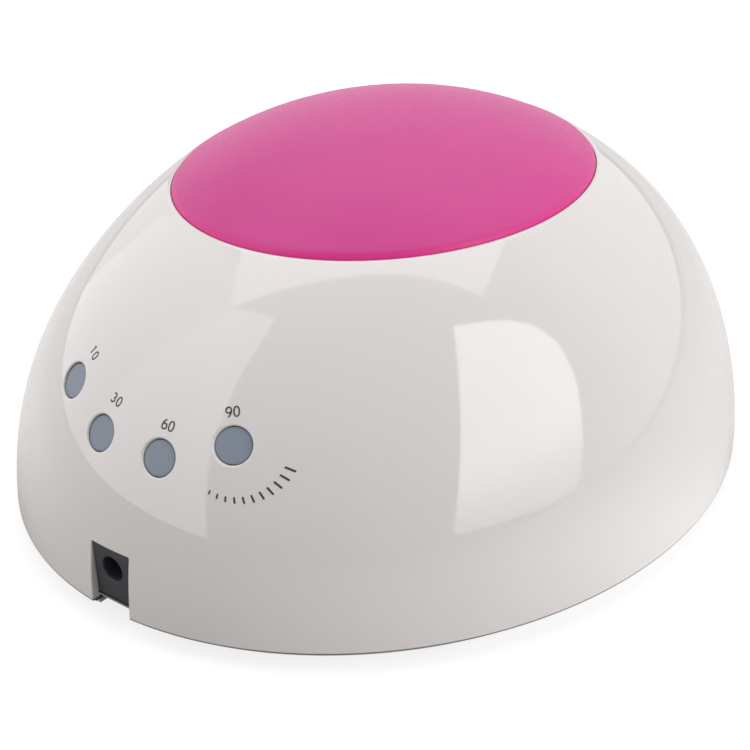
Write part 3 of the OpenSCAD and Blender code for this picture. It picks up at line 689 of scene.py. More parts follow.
def stroke(points, width):
    """Ribbon along a polyline, with rounded ends."""
    points = np.array(points, float)
    length = np.r_[0, np.cumsum(np.linalg.norm(np.diff(points, axis=0), axis=1))]
    total, half = length[-1], width / 2
    cap = half * (1 - np.cos(np.linspace(0, math.pi / 2, 5)))
    middle = np.linspace(half, total - half, max(2, int((total - width) / 0.12)))
    place = np.r_[cap[:-1], middle, (total - cap[::-1])[1:]]
    points = np.stack([np.interp(place, length, points[:, k]) for k in (0, 1)], -1)
    along = np.gradient(points, axis=0)
    along /= np.maximum(np.linalg.norm(along, axis=1, keepdims=True), 1e-9)
    side = np.stack([-along[:, 1], along[:, 0]], -1)
    from_end = np.clip(np.minimum(place, total - place), 0, half)
    reach = np.sqrt(np.clip(half ** 2 - (half - from_end) ** 2, (0.12 * half) ** 2, None))
    return points + side * reach[:, None], points - side * reach[:, None], False


def loop_stroke(x, y, half_x, half_y, width):
    """Closed ribbon along a slightly squared ellipse."""
    power = 2.25
    turn = np.linspace(0, 2 * np.pi, 44, endpoint=False)
    shape = np.stack([np.sign(v) * np.abs(v) ** (2 / power)
                      for v in (np.cos(turn), np.sin(turn))], -1)
    outer, inner = (np.array([x, y]) + shape * np.array([half_x + grow, half_y + grow])
                    for grow in (width / 2, -width / 2))
    return inner, outer, True


def arc(x, y, half_x, half_y, start, end, count):
    turn = np.linspace(start, end, count)
    return np.stack([x + half_x * np.cos(turn), y + half_y * np.sin(turn)], -1)


def digit(char, x, height, width):
    """Ribbons of one numeral about (x, 0), with strokes of the given width."""
    half_x, half_y = height * 0.245, height / 2 - width / 2
    if char == "0":
        return [loop_stroke(x, 0, half_x, half_y, width)]
    if char == "1":
        stem = x + 0.02 * height
        return [stroke([(stem, -half_y), (stem, half_y)], width),
                stroke([(stem, half_y), (x - 0.2 * height, half_y - 0.15 * height)], width)]
    if char == "3":
        x -= 0.02 * height
        upper = arc(x, half_y * 0.52, half_x * 0.86, half_y * 0.48, 150 * DEG, -88 * DEG, 22)
        lower = arc(x, -half_y * 0.48, half_x, half_y * 0.52, 88 * DEG, -150 * DEG, 24)
        return [stroke(upper, width), stroke(lower, width)]
    # a 6, or turned half round, a 9
    side = 1 if char == "6" else -1
    ring = loop_stroke(x, -side * half_y * 0.42, half_x, half_y * 0.58, width)
    turn = np.linspace(0, 78, 16) * DEG
    tail = np.stack([
        x - side * half_x + side * half_x * 1.75 * (1 - np.cos(turn)),
        side * (-half_y * 0.42 + half_y * 1.42 * np.sin(turn) / math.sin(78 * DEG))], -1)
    return [ring, stroke(tail, width)]


def tangent_axes(normal):
    """Level and rising unit axes square to a normal."""
    level = np.cross(Z_AXIS, normal)
    level = level / np.linalg.norm(level)
    return level, np.cross(normal, level)


# shift from the button along X and DOWN, turn in degrees, pitch of the digits in heights
NUMERALS = {"10": (-3.7, -7.8, -22, 0.82), "30": (-1.8, -8.5, -10, 0.82),
            "60": (0.1, -7.6, -4, 0.72), "90": (2.65, -6.9, 14, 0.72)}


def make_numeral(key):
    height, width = 2.5, 0.34
    shift_x, shift_down, turn, pitch = NUMERALS[key]
    x, down = BUTTONS[key][:2]
    origin = on_dome(np.array([x + shift_x]), np.array([down + shift_down]))
    out = DOME.normal(*dome_params(origin))[0]
    level, rise = tangent_axes(out)
    cosine, sine = math.cos(turn * DEG), math.sin(turn * DEG)
    ribbons = []
    for i, char in enumerate(key):
        ribbons += digit(char, (i - 0.5) * height * pitch, height, width)
    build = Build()
    add_mark(build, origin[0], cosine * level + sine * rise, -sine * level + cosine * rise,
             out, ribbons)
    return build.object("timer_mark_" + key, sharp=40)


def make_soft_start_mark():
    """Eleven ticks that grow along an arc round the 90 button."""
    ticks = []
    for i in range(11):
        turn = (-98 + 94 * i / 10) * DEG
        length = 1.05 + 0.14 * i
        outer_r = 10.2 + 0.165 * i + 1.2 + length / 2
        along = np.array([math.cos(turn), math.sin(turn)])
        ticks.append(stroke([along * (outer_r - length), along * outer_r], 0.38 + 0.010 * i))
    build = Build()
    add_mark(build, tilted(*BUTTONS["90"][:3]), -X_AXIS, -DOWN, OUT, ticks)
    return build.object("soft_start_mark", sharp=40)


# ---------------------------------------------------------------- plates and turned parts
def frame_map(origin, axis1, axis2, axis_h):
    """Maps 2D points and heights into space."""
    origin = np.array(origin, float)
    return lambda p, h: (origin + p[:, :1] * axis1 + p[:, 1:2] * axis2
                         + np.asarray(h, float).reshape(-1, 1) * axis_h)


def inset(loop, distance):
    """Moves an anticlockwise outline inwards, and a clockwise one outwards."""
    before = unit(loop - np.roll(loop, 1, 0))
    after = unit(np.roll(loop, -1, 0) - loop)
    normal1 = np.stack([-before[:, 1], before[:, 0]], -1)
    normal2 = np.stack([-after[:, 1], after[:, 0]], -1)
    mitre = unit(normal1 + normal2)
    stretch = 1 / np.clip((mitre * normal1).sum(-1), 0.4, 1)
    return loop + mitre * (distance * stretch)[:, None]


def prism(build, place, outline, holes, rows):
    """Closed plate; loops run anticlockwise, rows are (height, inset) from bottom to top."""
    loops = [outline] + [hole[::-1] for hole in holes]
    origin = np.zeros((1, 2))
    axis = place(origin, [1.0])[0] - place(origin, [0.0])[0]
    previous = None
    for k, (height, distance) in enumerate(rows):
        flat = [inset(loop, distance) for loop in loops]
        current = [build.verts(place(loop, np.full(len(loop), height))) for loop in flat]
        if previous is not None:
            for low, high in zip(previous, current):
                build.strip(low, high, flip=True)
        if k in (0, len(rows) - 1):
            ids = np.concatenate(current)
            for triangle in triangulate(flat[0], flat[1:], []):
                if k:
                    build.face(ids[triangle], [axis] * 3)
                else:
                    build.face(ids[triangle[::-1]], [-axis] * 3)
        previous = current


def circle(x, y, radius, count):
    turn = np.linspace(0, 2 * np.pi, count, endpoint=False)
    return np.stack([x + radius * np.cos(turn), y + radius * np.sin(turn)], -1)


def round_rect(x0, y0, x1, y1, radius, steps=6):
    points = []
    for x, y, first in ((x1 - radius, y1 - radius, 0), (x0 + radius, y1 - radius, 90),
                        (x0 + radius, y0 + radius, 180), (x1 - radius, y0 + radius, 270)):
        for i in range(steps + 1):
            turn = (first + 90 * i / steps) * DEG
            points.append((x + radius * math.cos(turn), y + radius * math.sin(turn)))
    return np.array(points)


def turned(build, place, profile, count):
    """Turned skin without end caps; the profile is (radius, height) from axis to axis."""
    round_points = circle(0, 0, 1, count)
    tip = build.verts(place(np.zeros((1, 2)), [profile[0][1]]))
    first, last = build.loft([place(round_points * radius, np.full(count, height))
                              for radius, height in profile[1:-1]], flip=True)
    return tip, first, last


def add_turned(build, place, profile, count):
    """Closed turned body; the profile is (radius, height) from axis to axis."""
    round_points = circle(0, 0, 1, count)
    rows = [place(round_points * radius, np.full(count, height))
            for radius, height in profile[1:-1]]
    tip = build.verts(place(np.zeros((1, 2)), [profile[0][1]]))
    first = build.verts(rows[0])
    build.fan(first, tip)
    last, _ = build.extend(first, rows[1:], flip=True)
    build.fan(last, build.verts(place(np.zeros((1, 2)), [profile[-1][1]])), flip=True)


del turned


def make_socket_plate():
    """Socket plate with a flange on its inner side, and a slim sill along its bottom."""
    build = Build()
    place = frame_map((0, 99.3, 0), -X_AXIS, Z_AXIS, Y_AXIS)
    low, high = EDGE_Z + 1.4, EDGE_Z + 16.0
    half_x, sill_x, flange_x = 5.9, 5.75, 8.5
    hole = circle(0, EDGE_Z + 10.6, 3.1, 72)
    prism(build, place, round_rect(-half_x, low, half_x, high, 0.55), [hole],
          [(-3.6, 0), (-0.32, 0), (-0.2, 0.03), (-0.08, 0.11), (0, 0.3)])
    prism(build, place,
          round_rect(-flange_x, EDGE_Z + 2.2, flange_x, EDGE_Z + 19.2, 1.2), [hole],
          [(-5.0, 0.25), (-4.75, 0), (-3.87, 0), (-3.62, 0.25)])
    prism(build, place, round_rect(-sill_x, low + 0.1, sill_x, low + 0.75, 0.25), [],
          [(0.02, 0.0), (0.2, 0.0), (0.33, 0.05), (0.4, 0.17)])
    return build.object("socket_plate", sharp=30)


def make_lining():
    """Rounded lining of the hand opening, from outside the shell back to the reflector."""
    build = Build()
    count = 170
    start = math.asin((0.1 / ARCH_Z) ** 1.5)
    dense = np.linspace(start, math.pi - start, 3000)
    x, z = arch_unit(dense)
    steps = np.diff(np.stack([ARCH_X * x, ARCH_Z * z], -1), axis=0)
    length = np.r_[0, np.cumsum(np.linalg.norm(steps, axis=1))]
    x, z = arch_unit(np.interp(np.linspace(0, length[-1], count), length, dense))

    def skin_y(ovals, grow, depth):
        """Y of the arch's points at a depth inside a skin's -Y side."""
        arch_x, arch_z = (ARCH_X + grow) * x, (ARCH_Z + grow) * z
        half_x, half_y, centre = ovals.half_x(arch_z), ovals.half_y(arch_z), ovals.centre(arch_z)
        y = centre - half_y * np.sqrt(np.clip(1 - (arch_x / half_x) ** 2, 1e-4, 1))
        angle = np.arctan2((y - centre) / half_y, arch_x / half_x)
        facing = np.abs(ovals.normal(angle, arch_z)[:, 1])
        return y + depth / np.maximum(facing, 0.3)

    def row(grow, y):
        return np.stack([(ARCH_X + grow) * x, y, EDGE_Z + (ARCH_Z + grow) * z], -1)

    bevel, edge, chamfer = 1.1, 0.15, 0.12
    front0, front1 = (skin_y(DOME, grow, 0.3) for grow in (0.0, LINING))
    back0, back1 = (skin_y(BOWL, grow, 0.75) for grow in (0.0, LINING))
    start0, start1 = front0 + bevel, front1 + bevel
    end0, end1 = back0 - edge, back1 - edge
    middle = (front0 + front1) / 2
    rows = [row(chamfer, back0), row(0.0, end0)]
    rows += [row(0.0, start0 + (end0 - start0) * f) for f in (0.75, 0.5, 0.25)]
    half = LINING / 2
    rows += [row(conic(0, 0, half, i / 6), conic(start0, front0, middle, i / 6))
             for i in range(7)]
    rows += [row(conic(half, LINING, LINING, i / 6), conic(middle, front1, start1, i / 6))
             for i in range(1, 7)]
    rows += [row(LINING, start1 + (end1 - start1) * f) for f in (0.33, 0.66)]
    rows += [row(LINING, end1), row(LINING - chamfer, back1)]
    rows = [build.verts(points) for points in rows]
    for a, b in zip(rows, rows[1:] + rows[:1]):
        for i in range(count - 1):
            build.face([b[i], b[i + 1], a[i + 1], a[i]])
    build.face([ids[0] for ids in rows][::-1])
    build.face([ids[-1] for ids in rows])
    return build.object("opening_lining", sharp=40)


# ---------------------------------------------------------------- reflector and lenses
BOWL_TOP, BOWL_CEILING = 62.0, 60.8      # flat top of the reflector and its underside
BOWL_FOOT, BOWL_FLANGE = 2.1, 3.3        # bottom and top of the flange at its foot
WINDOW_R = 3.9
# lamps in the side: angle in degrees, z
LAMPS_LOW = [(-21.5 + 223 / 11 * i, 22.0) for i in range(12)]
LAMPS_UP = [(-20 + 220 / 11 * i, 42.0) for i in range(12)]
TOP_CENTRE = BOWL.centre(BOWL_TOP)
TOP_LAMPS = [(0.0, TOP_CENTRE)] + [(25 * math.cos(45 * i * DEG),
                                    TOP_CENTRE + 26 * math.sin(45 * i * DEG))
                                   for i in range(8)]


def lamp_frame(degrees, z):
    """Place, level axis, rising axis and outward normal of a lamp on the reflector."""
    angle, z = np.array([degrees * DEG]), np.array([float(z)])
    normal = BOWL.normal(angle, z)[0]
    return BOWL.at(angle, z)[0], *tangent_axes(normal), normal


def window_loops(surface, radius, count):
    loops = []
    for degrees, z in LAMPS_LOW + LAMPS_UP:
        point, level, rise, _ = lamp_frame(degrees, z)
        loops.append(circle_on(surface, level, rise, point @ level, point @ rise,
                               radius, count, degrees * DEG, z))
    return loops


def bowl_edge(surface, low, arch_steps, foot_steps):
    """(angle, z) along the reflector's whole lower boundary."""
    angle, z = arch_half(surface, LINING_GAP, low, arch_steps, spread=1.0)
    foot = np.linspace(angle[-1], math.pi - angle[-1], foot_steps + 1)[1:-1]
    return np.stack([np.r_[angle, foot, (math.pi - angle)[::-1]],
                     np.r_[z, np.full(len(foot), low), z[::-1]]], -1)


def bowl_shoulder(build, skin, ids, normals, top_z, corner, flat, up, flip):
    """Rounds a skin of the reflector over to its level top; gives the top's outline as
    vertices and in X and Y. Corner and flat are growths of the top ellipse."""
    angle = skin.params[skin.top][:, 0]

    def ring(grow):
        return oval(angle, BOWL.half_x(BOWL_TOP) + grow, BOWL.half_y(BOWL_TOP) + grow,
                    TOP_CENTRE, top_z)

    end = ring(flat)
    rows, row_normals = round_over(skin.points[skin.top], ring(corner), end,
                                   normals[skin.top], unit(ring(-1) - ring(0)))
    row_normals[-1] = np.tile(up, (len(angle), 1))
    last, _ = build.extend(ids[skin.top], rows, normals[skin.top], row_normals, flip=flip)
    return last, end[:, :2]


def make_reflector():
    build = Build()
    arch_steps, foot_steps, top_steps = 56, 120, 200
    count, edge_r = 40, 0.25             # points and rounding of a window
    outer = Sheet(BOWL.at, BOWL, bowl_edge(BOWL.at, BOWL_FLANGE, arch_steps, foot_steps),
                  window_loops(BOWL.at, WINDOW_R, count),
                  top_z=61.8, seam_steps=6, top_steps=top_steps, step=3.4)
    inner = Sheet(bowl_in, BOWL, bowl_edge(bowl_in, BOWL_FOOT, arch_steps, foot_steps),
                  window_loops(bowl_in, WINDOW_R + edge_r, count),
                  top_z=58.6, seam_steps=5, top_steps=top_steps, step=2.6,
                  rings=window_loops(bowl_in, 5.0, 32))
    inner_normals = -surface_normal(bowl_in, inner.params)
    # both skins' points come before the skins' faces
    outer_ids = outer.add_to(build, outer.normals)
    inner_ids = inner.add_to(build, inner_normals, flip=True)

    corners = window_loops(bowl_in, WINDOW_R, count)
    for k, (degrees, z) in enumerate(LAMPS_LOW + LAMPS_UP):
        along = np.tile(lamp_frame(degrees, z)[3], (count, 1))
        corner = bowl_in(corners[k][:, 0], corners[k][:, 1])
        hole = inner.holes[k]
        rows, normals = round_over(inner.points[hole], corner, corner + edge_r * along,
                                   inner_normals[hole], along, 3)
        last, last_normals = build.extend(inner_ids[hole], rows, inner_normals[hole],
                                          normals, flip=True)
        build.strip(last, outer_ids[outer.holes[k]], last_normals, last_normals, flip=True)

    # rim of the opening and the flange at the foot
    outer_row, inner_row = outer_ids[outer.edge], inner_ids[inner.edge]
    foot_end = arch_steps + foot_steps
    arch = np.r_[foot_end:len(outer_row), 0:arch_steps + 1]
    build.strip(outer_row[arch], inner_row[arch], closed=False)
    foot = np.arange(arch_steps, foot_end + 1)
    angle = (outer.params[outer.edge[foot], 0] + inner.params[inner.edge[foot], 0]) / 2
    half_x, half_y = BOWL.half_x(BOWL_FOOT) + 4, BOWL.half_y(BOWL_FOOT) + 4
    profile = ((-0.25, BOWL_FLANGE), (0, 3.1), (0, 2.3), (-0.25, BOWL_FOOT))
    flange = [build.verts(oval(angle, half_x + grow, half_y + grow, BOWL.centre(BOWL_FOOT), z))
              for grow, z in profile]
    rows = [outer_row[foot], *flange, inner_row[foot]]
    for a, b in zip(rows, rows[1:]):
        build.strip(a, b, closed=False)
    build.face([row[0] for row in rows][::-1])
    build.face([row[-1] for row in rows])

    # rounded shoulders, then the flat top with its windows and two smaller holes
    outer_ring, outer_xy = bowl_shoulder(build, outer, outer_ids, outer.normals, BOWL_TOP,
                                         corner=-0.05, flat=-1.2, up=Z_AXIS, flip=False)
    inner_ring, inner_xy = bowl_shoulder(build, inner, inner_ids, inner_normals,
                                         BOWL_CEILING, corner=-2.2, flat=-5.2, up=-Z_AXIS,
                                         flip=True)
    openings = [(x, y, WINDOW_R, count) for x, y in TOP_LAMPS]
    openings += [(x, TOP_CENTRE - 36.5, 2.75, 32) for x in (-6, 6)]

    def level_loop(loop, z):
        return build.verts(np.c_[loop, np.full(len(loop), EDGE_Z + z)])

    outer_loops = [circle(x, y, r, n)[::-1] for x, y, r, n in openings]
    inner_loops = [circle(x, y, r + 0.2, n)[::-1] for x, y, r, n in openings]
    outer_holes = [level_loop(loop, BOWL_TOP) for loop in outer_loops]
    inner_holes = [level_loop(loop, BOWL_CEILING) for loop in inner_loops]
    # the rings run clockwise seen from above, so they are turned round
    for ring, ring_xy, loops, holes, up in (
            (outer_ring, outer_xy, outer_loops, outer_holes, Z_AXIS),
            (inner_ring, inner_xy, inner_loops, inner_holes, -Z_AXIS)):
        ids = np.concatenate([ring[::-1]] + holes)
        for triangle in triangulate(ring_xy[::-1], loops, []):
            build.face(ids[triangle if up[2] > 0 else triangle[::-1]], [up] * 3)
    for loop, outer_hole, inner_hole in zip(outer_loops, outer_holes, inner_holes):
        middle = level_loop(loop, 61.0)
        build.strip(outer_hole, middle)
        build.strip(middle, inner_hole)
    return build.object("reflector_bowl", sharp=32)


# radius, height outwards: a flat disc with a dome on its inner side
LENS_R = 3.4
LENS = [(0, -3.8)]
LENS += [(LENS_R * math.cos(a * DEG), -2.1 - 1.7 * math.sin(a * DEG))
         for a in (81, 72, 62, 52, 42, 32, 22, 12)]
LENS += [(3.385, -2.2), (LENS_R, -2.0), (LENS_R, -0.1), (3.2, 0.1), (0, 0.1)]


def make_lenses(name, frames):
    build = Build()
    for lamp in frames:
        add_turned(build, frame_map(*lamp), LENS, 40)
    return build.object(name, sharp=40)


# ---------------------------------------------------------------- base
def make_base_plate():
    """Oval plate with a pull tab at -Y, a notch at +Y, three slots and a grip hole."""
    build = Build()
    half_x, half_y = 89.3, 99.3
    tab_x, tab_y, tab_r = 15, -101.2, 8  # centre of the tab's corner, its end and corner radius
    notch_x, notch_y, notch_r = 6, 89.3, 0.7
    # the ellipse meets the round corner of the tab at tab_turn
    turn = np.linspace(-60 * DEG, 20 * DEG, 4000)
    x, y = tab_x + tab_r * np.cos(turn), tab_y + tab_r + tab_r * np.sin(turn)
    meet = np.where((x / half_x) ** 2 + (y / half_y) ** 2 - 1 > 0)[0][-1]
    tab_turn = turn[meet]
    start = math.atan2(y[meet] / half_y, x[meet] / half_x)
    ellipse = arc(0, 0, half_x, half_y, start, math.pi - start, 301)

    mouth = half_y * math.sqrt(1 - (notch_x / half_x) ** 2)
    half_notch = np.concatenate([
        [[notch_x, y] for y in (mouth, 96.5, 93.5, 90.6)],
        arc(notch_x - notch_r, notch_y + notch_r, notch_r, -notch_r, 0, math.pi / 2, 6),
        [[3.2, notch_y], [1.1, notch_y]]])
    mirror = np.array([-1, 1])
    away = np.abs(ellipse[:, 0]) > 6.35
    ellipse = np.concatenate([ellipse[away & (ellipse[:, 0] > 0)], half_notch,
                              half_notch[::-1] * mirror,
                              ellipse[away & (ellipse[:, 0] < 0)]])
    corner = arc(tab_x, tab_y + tab_r, tab_r, tab_r, -math.pi / 2, tab_turn, 14)
    tab_end = [[x, tab_y] for x in np.linspace(-tab_x, tab_x, 9)[1:-1]]
    outline = np.concatenate([ellipse[1:-1], corner[::-1] * mirror, tab_end, corner])
    # soften the two inner corners beside the tab
    for _ in range(2):
        before, after = np.roll(outline, 1, 0), np.roll(outline, -1, 0)
        lengths = (np.linalg.norm(outline - before, axis=1)
                   * np.linalg.norm(after - outline, axis=1))
        bend = np.abs(cross2(outline - before, after - outline)) / (lengths + 1e-9)
        sharp = ((bend > 0.3) & (outline[:, 1] < 0))[:, None]
        outline = np.where(sharp, (before + after) / 2, outline)
    holes = [round_rect(-17, y - 1, 17, y + 1, 0.95, 5) for y in (60, 66, 72)]
    grip_y = tab_y + 5
    holes.append(round_rect(-12.6, grip_y - 1.6, 12.6, grip_y + 1.6, 1.58))
    prism(build, frame_map((0, 0, 0), X_AXIS, Y_AXIS, Z_AXIS), outline, holes,
          [(2.6, 0.42), (2.68, 0.14), (2.88, 0.0), (3.52, 0.0), (3.72, 0.09), (3.8, 0.3)])
    return build.object("base_sheet", sharp=30)


def make_feet():
    build = Build()
    # radius, height
    profile = [(0, 0.35), (2.1, 0.35), (2.3, 0.3), (2.45, 0.0), (4.9, 0.0), (5.15, 0.05),
               (5.35, 0.2), (5.9, 0.6), (6.25, 1.6), (6.5, 2.35), (6.5, 2.6), (0, 2.6)]
    for x, y in ((58, 60), (-58, 60), (-58, -62), (58, -62)):
        add_turned(build, frame_map((x, y, 0), X_AXIS, Y_AXIS, Z_AXIS), profile, 56)
    return build.object("base_feet", sharp=30)


# ---------------------------------------------------------------- materials
class Nodes:
    """Short calls for building a node tree. Inputs take a value or another node's output."""

    def __init__(self, owner):
        owner.use_nodes = True
        self.tree = owner.node_tree

    def plug(self, socket, value):
        if isinstance(value, bpy.types.NodeSocket):
            self.tree.links.new(value, socket)
        else:
            socket.default_value = (*value, 1) if socket.type == "RGBA" else value

    def node(self, kind, inputs=None, **settings):
        node = self.tree.nodes.new(kind)
        for name, value in settings.items():
            setattr(node, name, value)
        for key, value in (inputs or {}).items():
            self.plug(node.inputs[key], value)
        return node

    def remap(self, value, low, high, start=0.3, end=0.7, smooth=False):
        """Goes from low to high as the value goes from start to end."""
        return self.node(
            "ShaderNodeMapRange", {"From Min": start, "From Max": end, "To Min": low,
                                   "To Max": high, "Value": value},
            interpolation_type="SMOOTHSTEP" if smooth else "LINEAR").outputs["Result"]

    def mix(self, factor, first, second):
        return self.node("ShaderNodeMix", {0: factor, 6: first, 7: second},
                         data_type="RGBA").outputs[2]

    def axis(self, vector, name):
        return self.node("ShaderNodeSeparateXYZ", {0: vector}).outputs[name]

    def calc(self, operation, a, b):
        return self.node("ShaderNodeMath", {0: a, 1: b}, operation=operation).outputs[0]

    def camera_ray(self):
        return self.node("ShaderNodeLightPath").outputs["Is Camera Ray"]

    def by_side(self, vector, dark, bright, toward, start, end):
        """Colour that is `dark` in the direction `toward` and `bright` all round the rest."""
        heading = self.node("ShaderNodeVectorMath", {0: vector},
                            operation="NORMALIZE").outputs[0]
        facing = self.node("ShaderNodeVectorMath",
                           {0: heading, 1: Vector(toward).normalized()},
                           operation="DOT_PRODUCT").outputs["Value"]
        return self.mix(self.remap(facing, 0.0, 1.0, start, end, smooth=True), bright, dark)


class Surface(Nodes):
    """A material with one Principled shader."""

    def __init__(self, name):
        self.material = bpy.data.materials.new(name)
        super().__init__(self.material)
        self.shader = self.tree.nodes["Principled BSDF"]
        self.place = self.node("ShaderNodeTexCoord").outputs["Object"]

    def set(self, **inputs):
        """Sets shader inputs by name, as in coat_weight for Coat Weight."""
        for name, value in inputs.items():
            title = name.replace("_", " ").title().replace("Ior", "IOR")
            self.plug(self.shader.inputs[title], value)

    def noise(self, scale, detail=3.0, roughness=0.55, vector=None):
        return self.node("ShaderNodeTexNoise", {
            "Scale": scale, "Detail": detail, "Roughness": roughness,
            "Vector": self.place if vector is None else vector}).outputs["Fac"]

    def vary(self, low, high, **noise):
        """A value that drifts between low and high."""
        return self.remap(self.noise(**noise), low, high)

    def mottle(self, first, second, **noise):
        """A colour that drifts between two."""
        return self.mix(self.vary(0.0, 1.0, **noise), first, second)

    def low_band(self, full, none):
        """1 below the height `full` and 0 above `none`, in mm."""
        return self.remap(self.axis(self.place, "Z"), 1.0, 0.0, full * MM, none * MM)

    def normal_z(self):
        geometry = self.node("ShaderNodeNewGeometry")
        return self.axis(geometry.outputs["True Normal"], "Z")

    def bump(self, height, strength, distance):
        node = self.node("ShaderNodeBump", {"Strength": strength, "Distance": distance,
                                            "Height": height})
        self.set(normal=node.outputs["Normal"])


def shades(colour, drift):
    return tuple(c * (1 - drift) for c in colour), tuple(c * (1 + drift) for c in colour)


def plastic(name, colour, roughness, spread, drift, bump, grain):
    """Moulded plastic: slight colour drift, uneven gloss and a fine grain."""
    m = Surface(name)
    m.set(base_color=m.mottle(*shades(colour, drift), scale=38.0, detail=4.0),
          roughness=m.vary(roughness - spread, roughness + spread,
                           scale=210.0, detail=4.0, roughness=0.6))
    m.bump(m.noise(scale=grain, detail=2.0, roughness=0.6), strength=bump, distance=0.0002)
    return m.material


def metal(name, colour, roughness, spread, metallic=1.0, stretch=None):
    """Metal with fine drift, or streaked when the noise is stretched by `stretch`."""
    m = Surface(name)
    vector, tone_scale, gloss_scale = None, 420.0, 160.0
    if stretch:
        vector = m.node("ShaderNodeMapping",
                        {"Scale": stretch, "Vector": m.place}).outputs["Vector"]
        tone_scale, gloss_scale = 1.0, 1.3
    tone = m.noise(scale=tone_scale, detail=5.0, roughness=0.65, vector=vector)
    m.set(base_color=m.mix(m.remap(tone, 0.0, 1.0), *shades(colour, drift=0.06)),
          metallic=metallic,
          roughness=m.vary(roughness - spread, roughness + spread, scale=gloss_scale,
                           detail=4.0, roughness=0.6, vector=vector))
    m.bump(tone, strength=0.08, distance=0.0001)
    return m.material


def shell_material():
    """Warm white gloss, faintly wavy, with painted shade along the very bottom edge: a thin dark
    band that stands in for the shadow gap under the shell.
    """
    m = Surface("shell_gloss")
    white = m.mottle((0.715, 0.690, 0.675), (0.745, 0.722, 0.712), scale=11.0)
    # painted shade: the bottom edge is coloured dark grey to stand in for the shadow gap under
    # the shell, not for a dark part
    painted_shade_line = m.low_band(full=EDGE_Z + 0.36, none=EDGE_Z + 0.64)
    m.set(base_color=m.mix(painted_shade_line, white, (0.085, 0.092, 0.086)),
          roughness=m.vary(0.05, 0.09, scale=90.0), ior=1.5, specular_ior_level=0.5,
          coat_weight=0.85, coat_roughness=0.045)
    m.bump(m.noise(scale=26.0, detail=1.0, roughness=0.4), strength=0.22, distance=0.00010)
    return m.material


def pad_material():
    """Pink silicone; the upright edge is painted a deeper pink than the top, as painted shade
    for the dimmer light that falls on the side.
    """
    m = Surface("pad_silicone")
    # painted shade: faces that turn from up take a deeper, more saturated pink, standing in for
    # the lost sheen and self-shadow on the pad's side
    side = m.remap(m.normal_z(), 1.0, 0.0, 0.35, 0.93)
    top = m.mottle((0.545, 0.030, 0.240), (0.595, 0.042, 0.268), scale=17.0)
    m.set(base_color=m.mix(side, top, (0.80, 0.026, 0.265)),
          roughness=m.vary(0.36, 0.46, scale=650.0, detail=4.0), specular_ior_level=0.42,
          sheen_weight=0.24, sheen_roughness=0.35, sheen_tint=(1.0, 0.70, 0.86),
          subsurface_weight=0.10, subsurface_scale=0.0016,
          subsurface_radius=(1.0, 0.28, 0.5))
    m.bump(m.noise(scale=2600.0, detail=3.0, roughness=0.6), strength=0.10, distance=0.0001)
    return m.material


def reflector_material():
    m = Surface("reflector_metallised")
    m.set(base_color=m.mottle((0.80, 0.81, 0.83), (0.88, 0.885, 0.90), scale=60.0,
                              detail=4.0),
          metallic=1.0, roughness=m.vary(0.20, 0.28, scale=60.0, detail=2.0))
    m.bump(m.noise(scale=70.0, detail=1.0), strength=0.05, distance=0.0001)
    return m.material


def board_material():
    """Green board with a brick pattern of paler lines."""
    m = Surface("board_solder_mask")
    brick = m.node("ShaderNodeTexBrick", {
        "Scale": 260.0, "Mortar Size": 0.028, "Color1": (0.008, 0.085, 0.030),
        "Color2": (0.010, 0.100, 0.036), "Mortar": (0.022, 0.170, 0.062),
        "Vector": m.place}, offset=0.37, squash=1.0)
    m.set(base_color=m.mix(m.vary(0.0, 0.35, scale=60.0), brick.outputs["Color"],
                           (0.012, 0.11, 0.04)),
          roughness=m.vary(0.22, 0.34, scale=300.0))
    m.bump(brick.outputs["Fac"], strength=0.25, distance=0.00005)
    return m.material


def plate_material():
    """Satin dark grey; the sill along the bottom edge is painted paler, a painted highlight on
    its chamfered edge.
    """
    m = Surface("socket_plate_satin")
    dark = m.mottle((0.029, 0.032, 0.040), (0.033, 0.037, 0.045), scale=38.0, detail=4.0)
    # painted highlight: the bottom band and sill get a pale grey that stands in for light caught
    # on the sill's chamfer
    sill = m.low_band(full=EDGE_Z + 1.95, none=EDGE_Z + 2.1)
    m.set(base_color=m.mix(sill, dark, (0.26, 0.27, 0.28)),
          roughness=m.vary(0.36, 0.48, scale=210.0, detail=4.0, roughness=0.6))
    m.bump(m.noise(scale=2200.0, detail=2.0, roughness=0.6), strength=0.25, distance=0.0002)
    return m.material


def lens_material():
    m = Surface("lens_resin")
    m.set(base_color=m.mottle((0.90, 0.93, 1.0), (0.97, 0.98, 1.0), scale=300.0, detail=2.0),
          transmission_weight=0.85, ior=1.46,
          roughness=m.vary(0.03, 0.08, scale=500.0, detail=2.0))
    return m.material


def capacitor_material():
    """Dark sleeve with bare metal on faces that look up."""
    m = Surface("capacitor_sleeve")
    bare = m.remap(m.normal_z(), 0.0, 1.0, 0.7, 0.9)
    sleeve = m.mottle((0.012, 0.016, 0.03), (0.02, 0.026, 0.045), scale=200.0)
    m.set(base_color=m.mix(bare, sleeve, (0.62, 0.63, 0.64)), metallic=bare,
          roughness=m.vary(0.25, 0.4, scale=400.0))
    return m.material


def two_wire_material(name, first, second, axis, split):
    """Two insulated wires side by side, parted at `split` metres along an axis."""
    m = Surface(name)
    pick = m.remap(m.axis(m.place, axis), 0.0, 1.0, split - 1e-5, split + 1e-5)
    m.set(base_color=m.mix(pick, first, second), roughness=m.vary(0.38, 0.55, scale=350.0))
    m.bump(m.noise(scale=900.0, detail=2.0), strength=0.08, distance=0.0001)
    return m.material


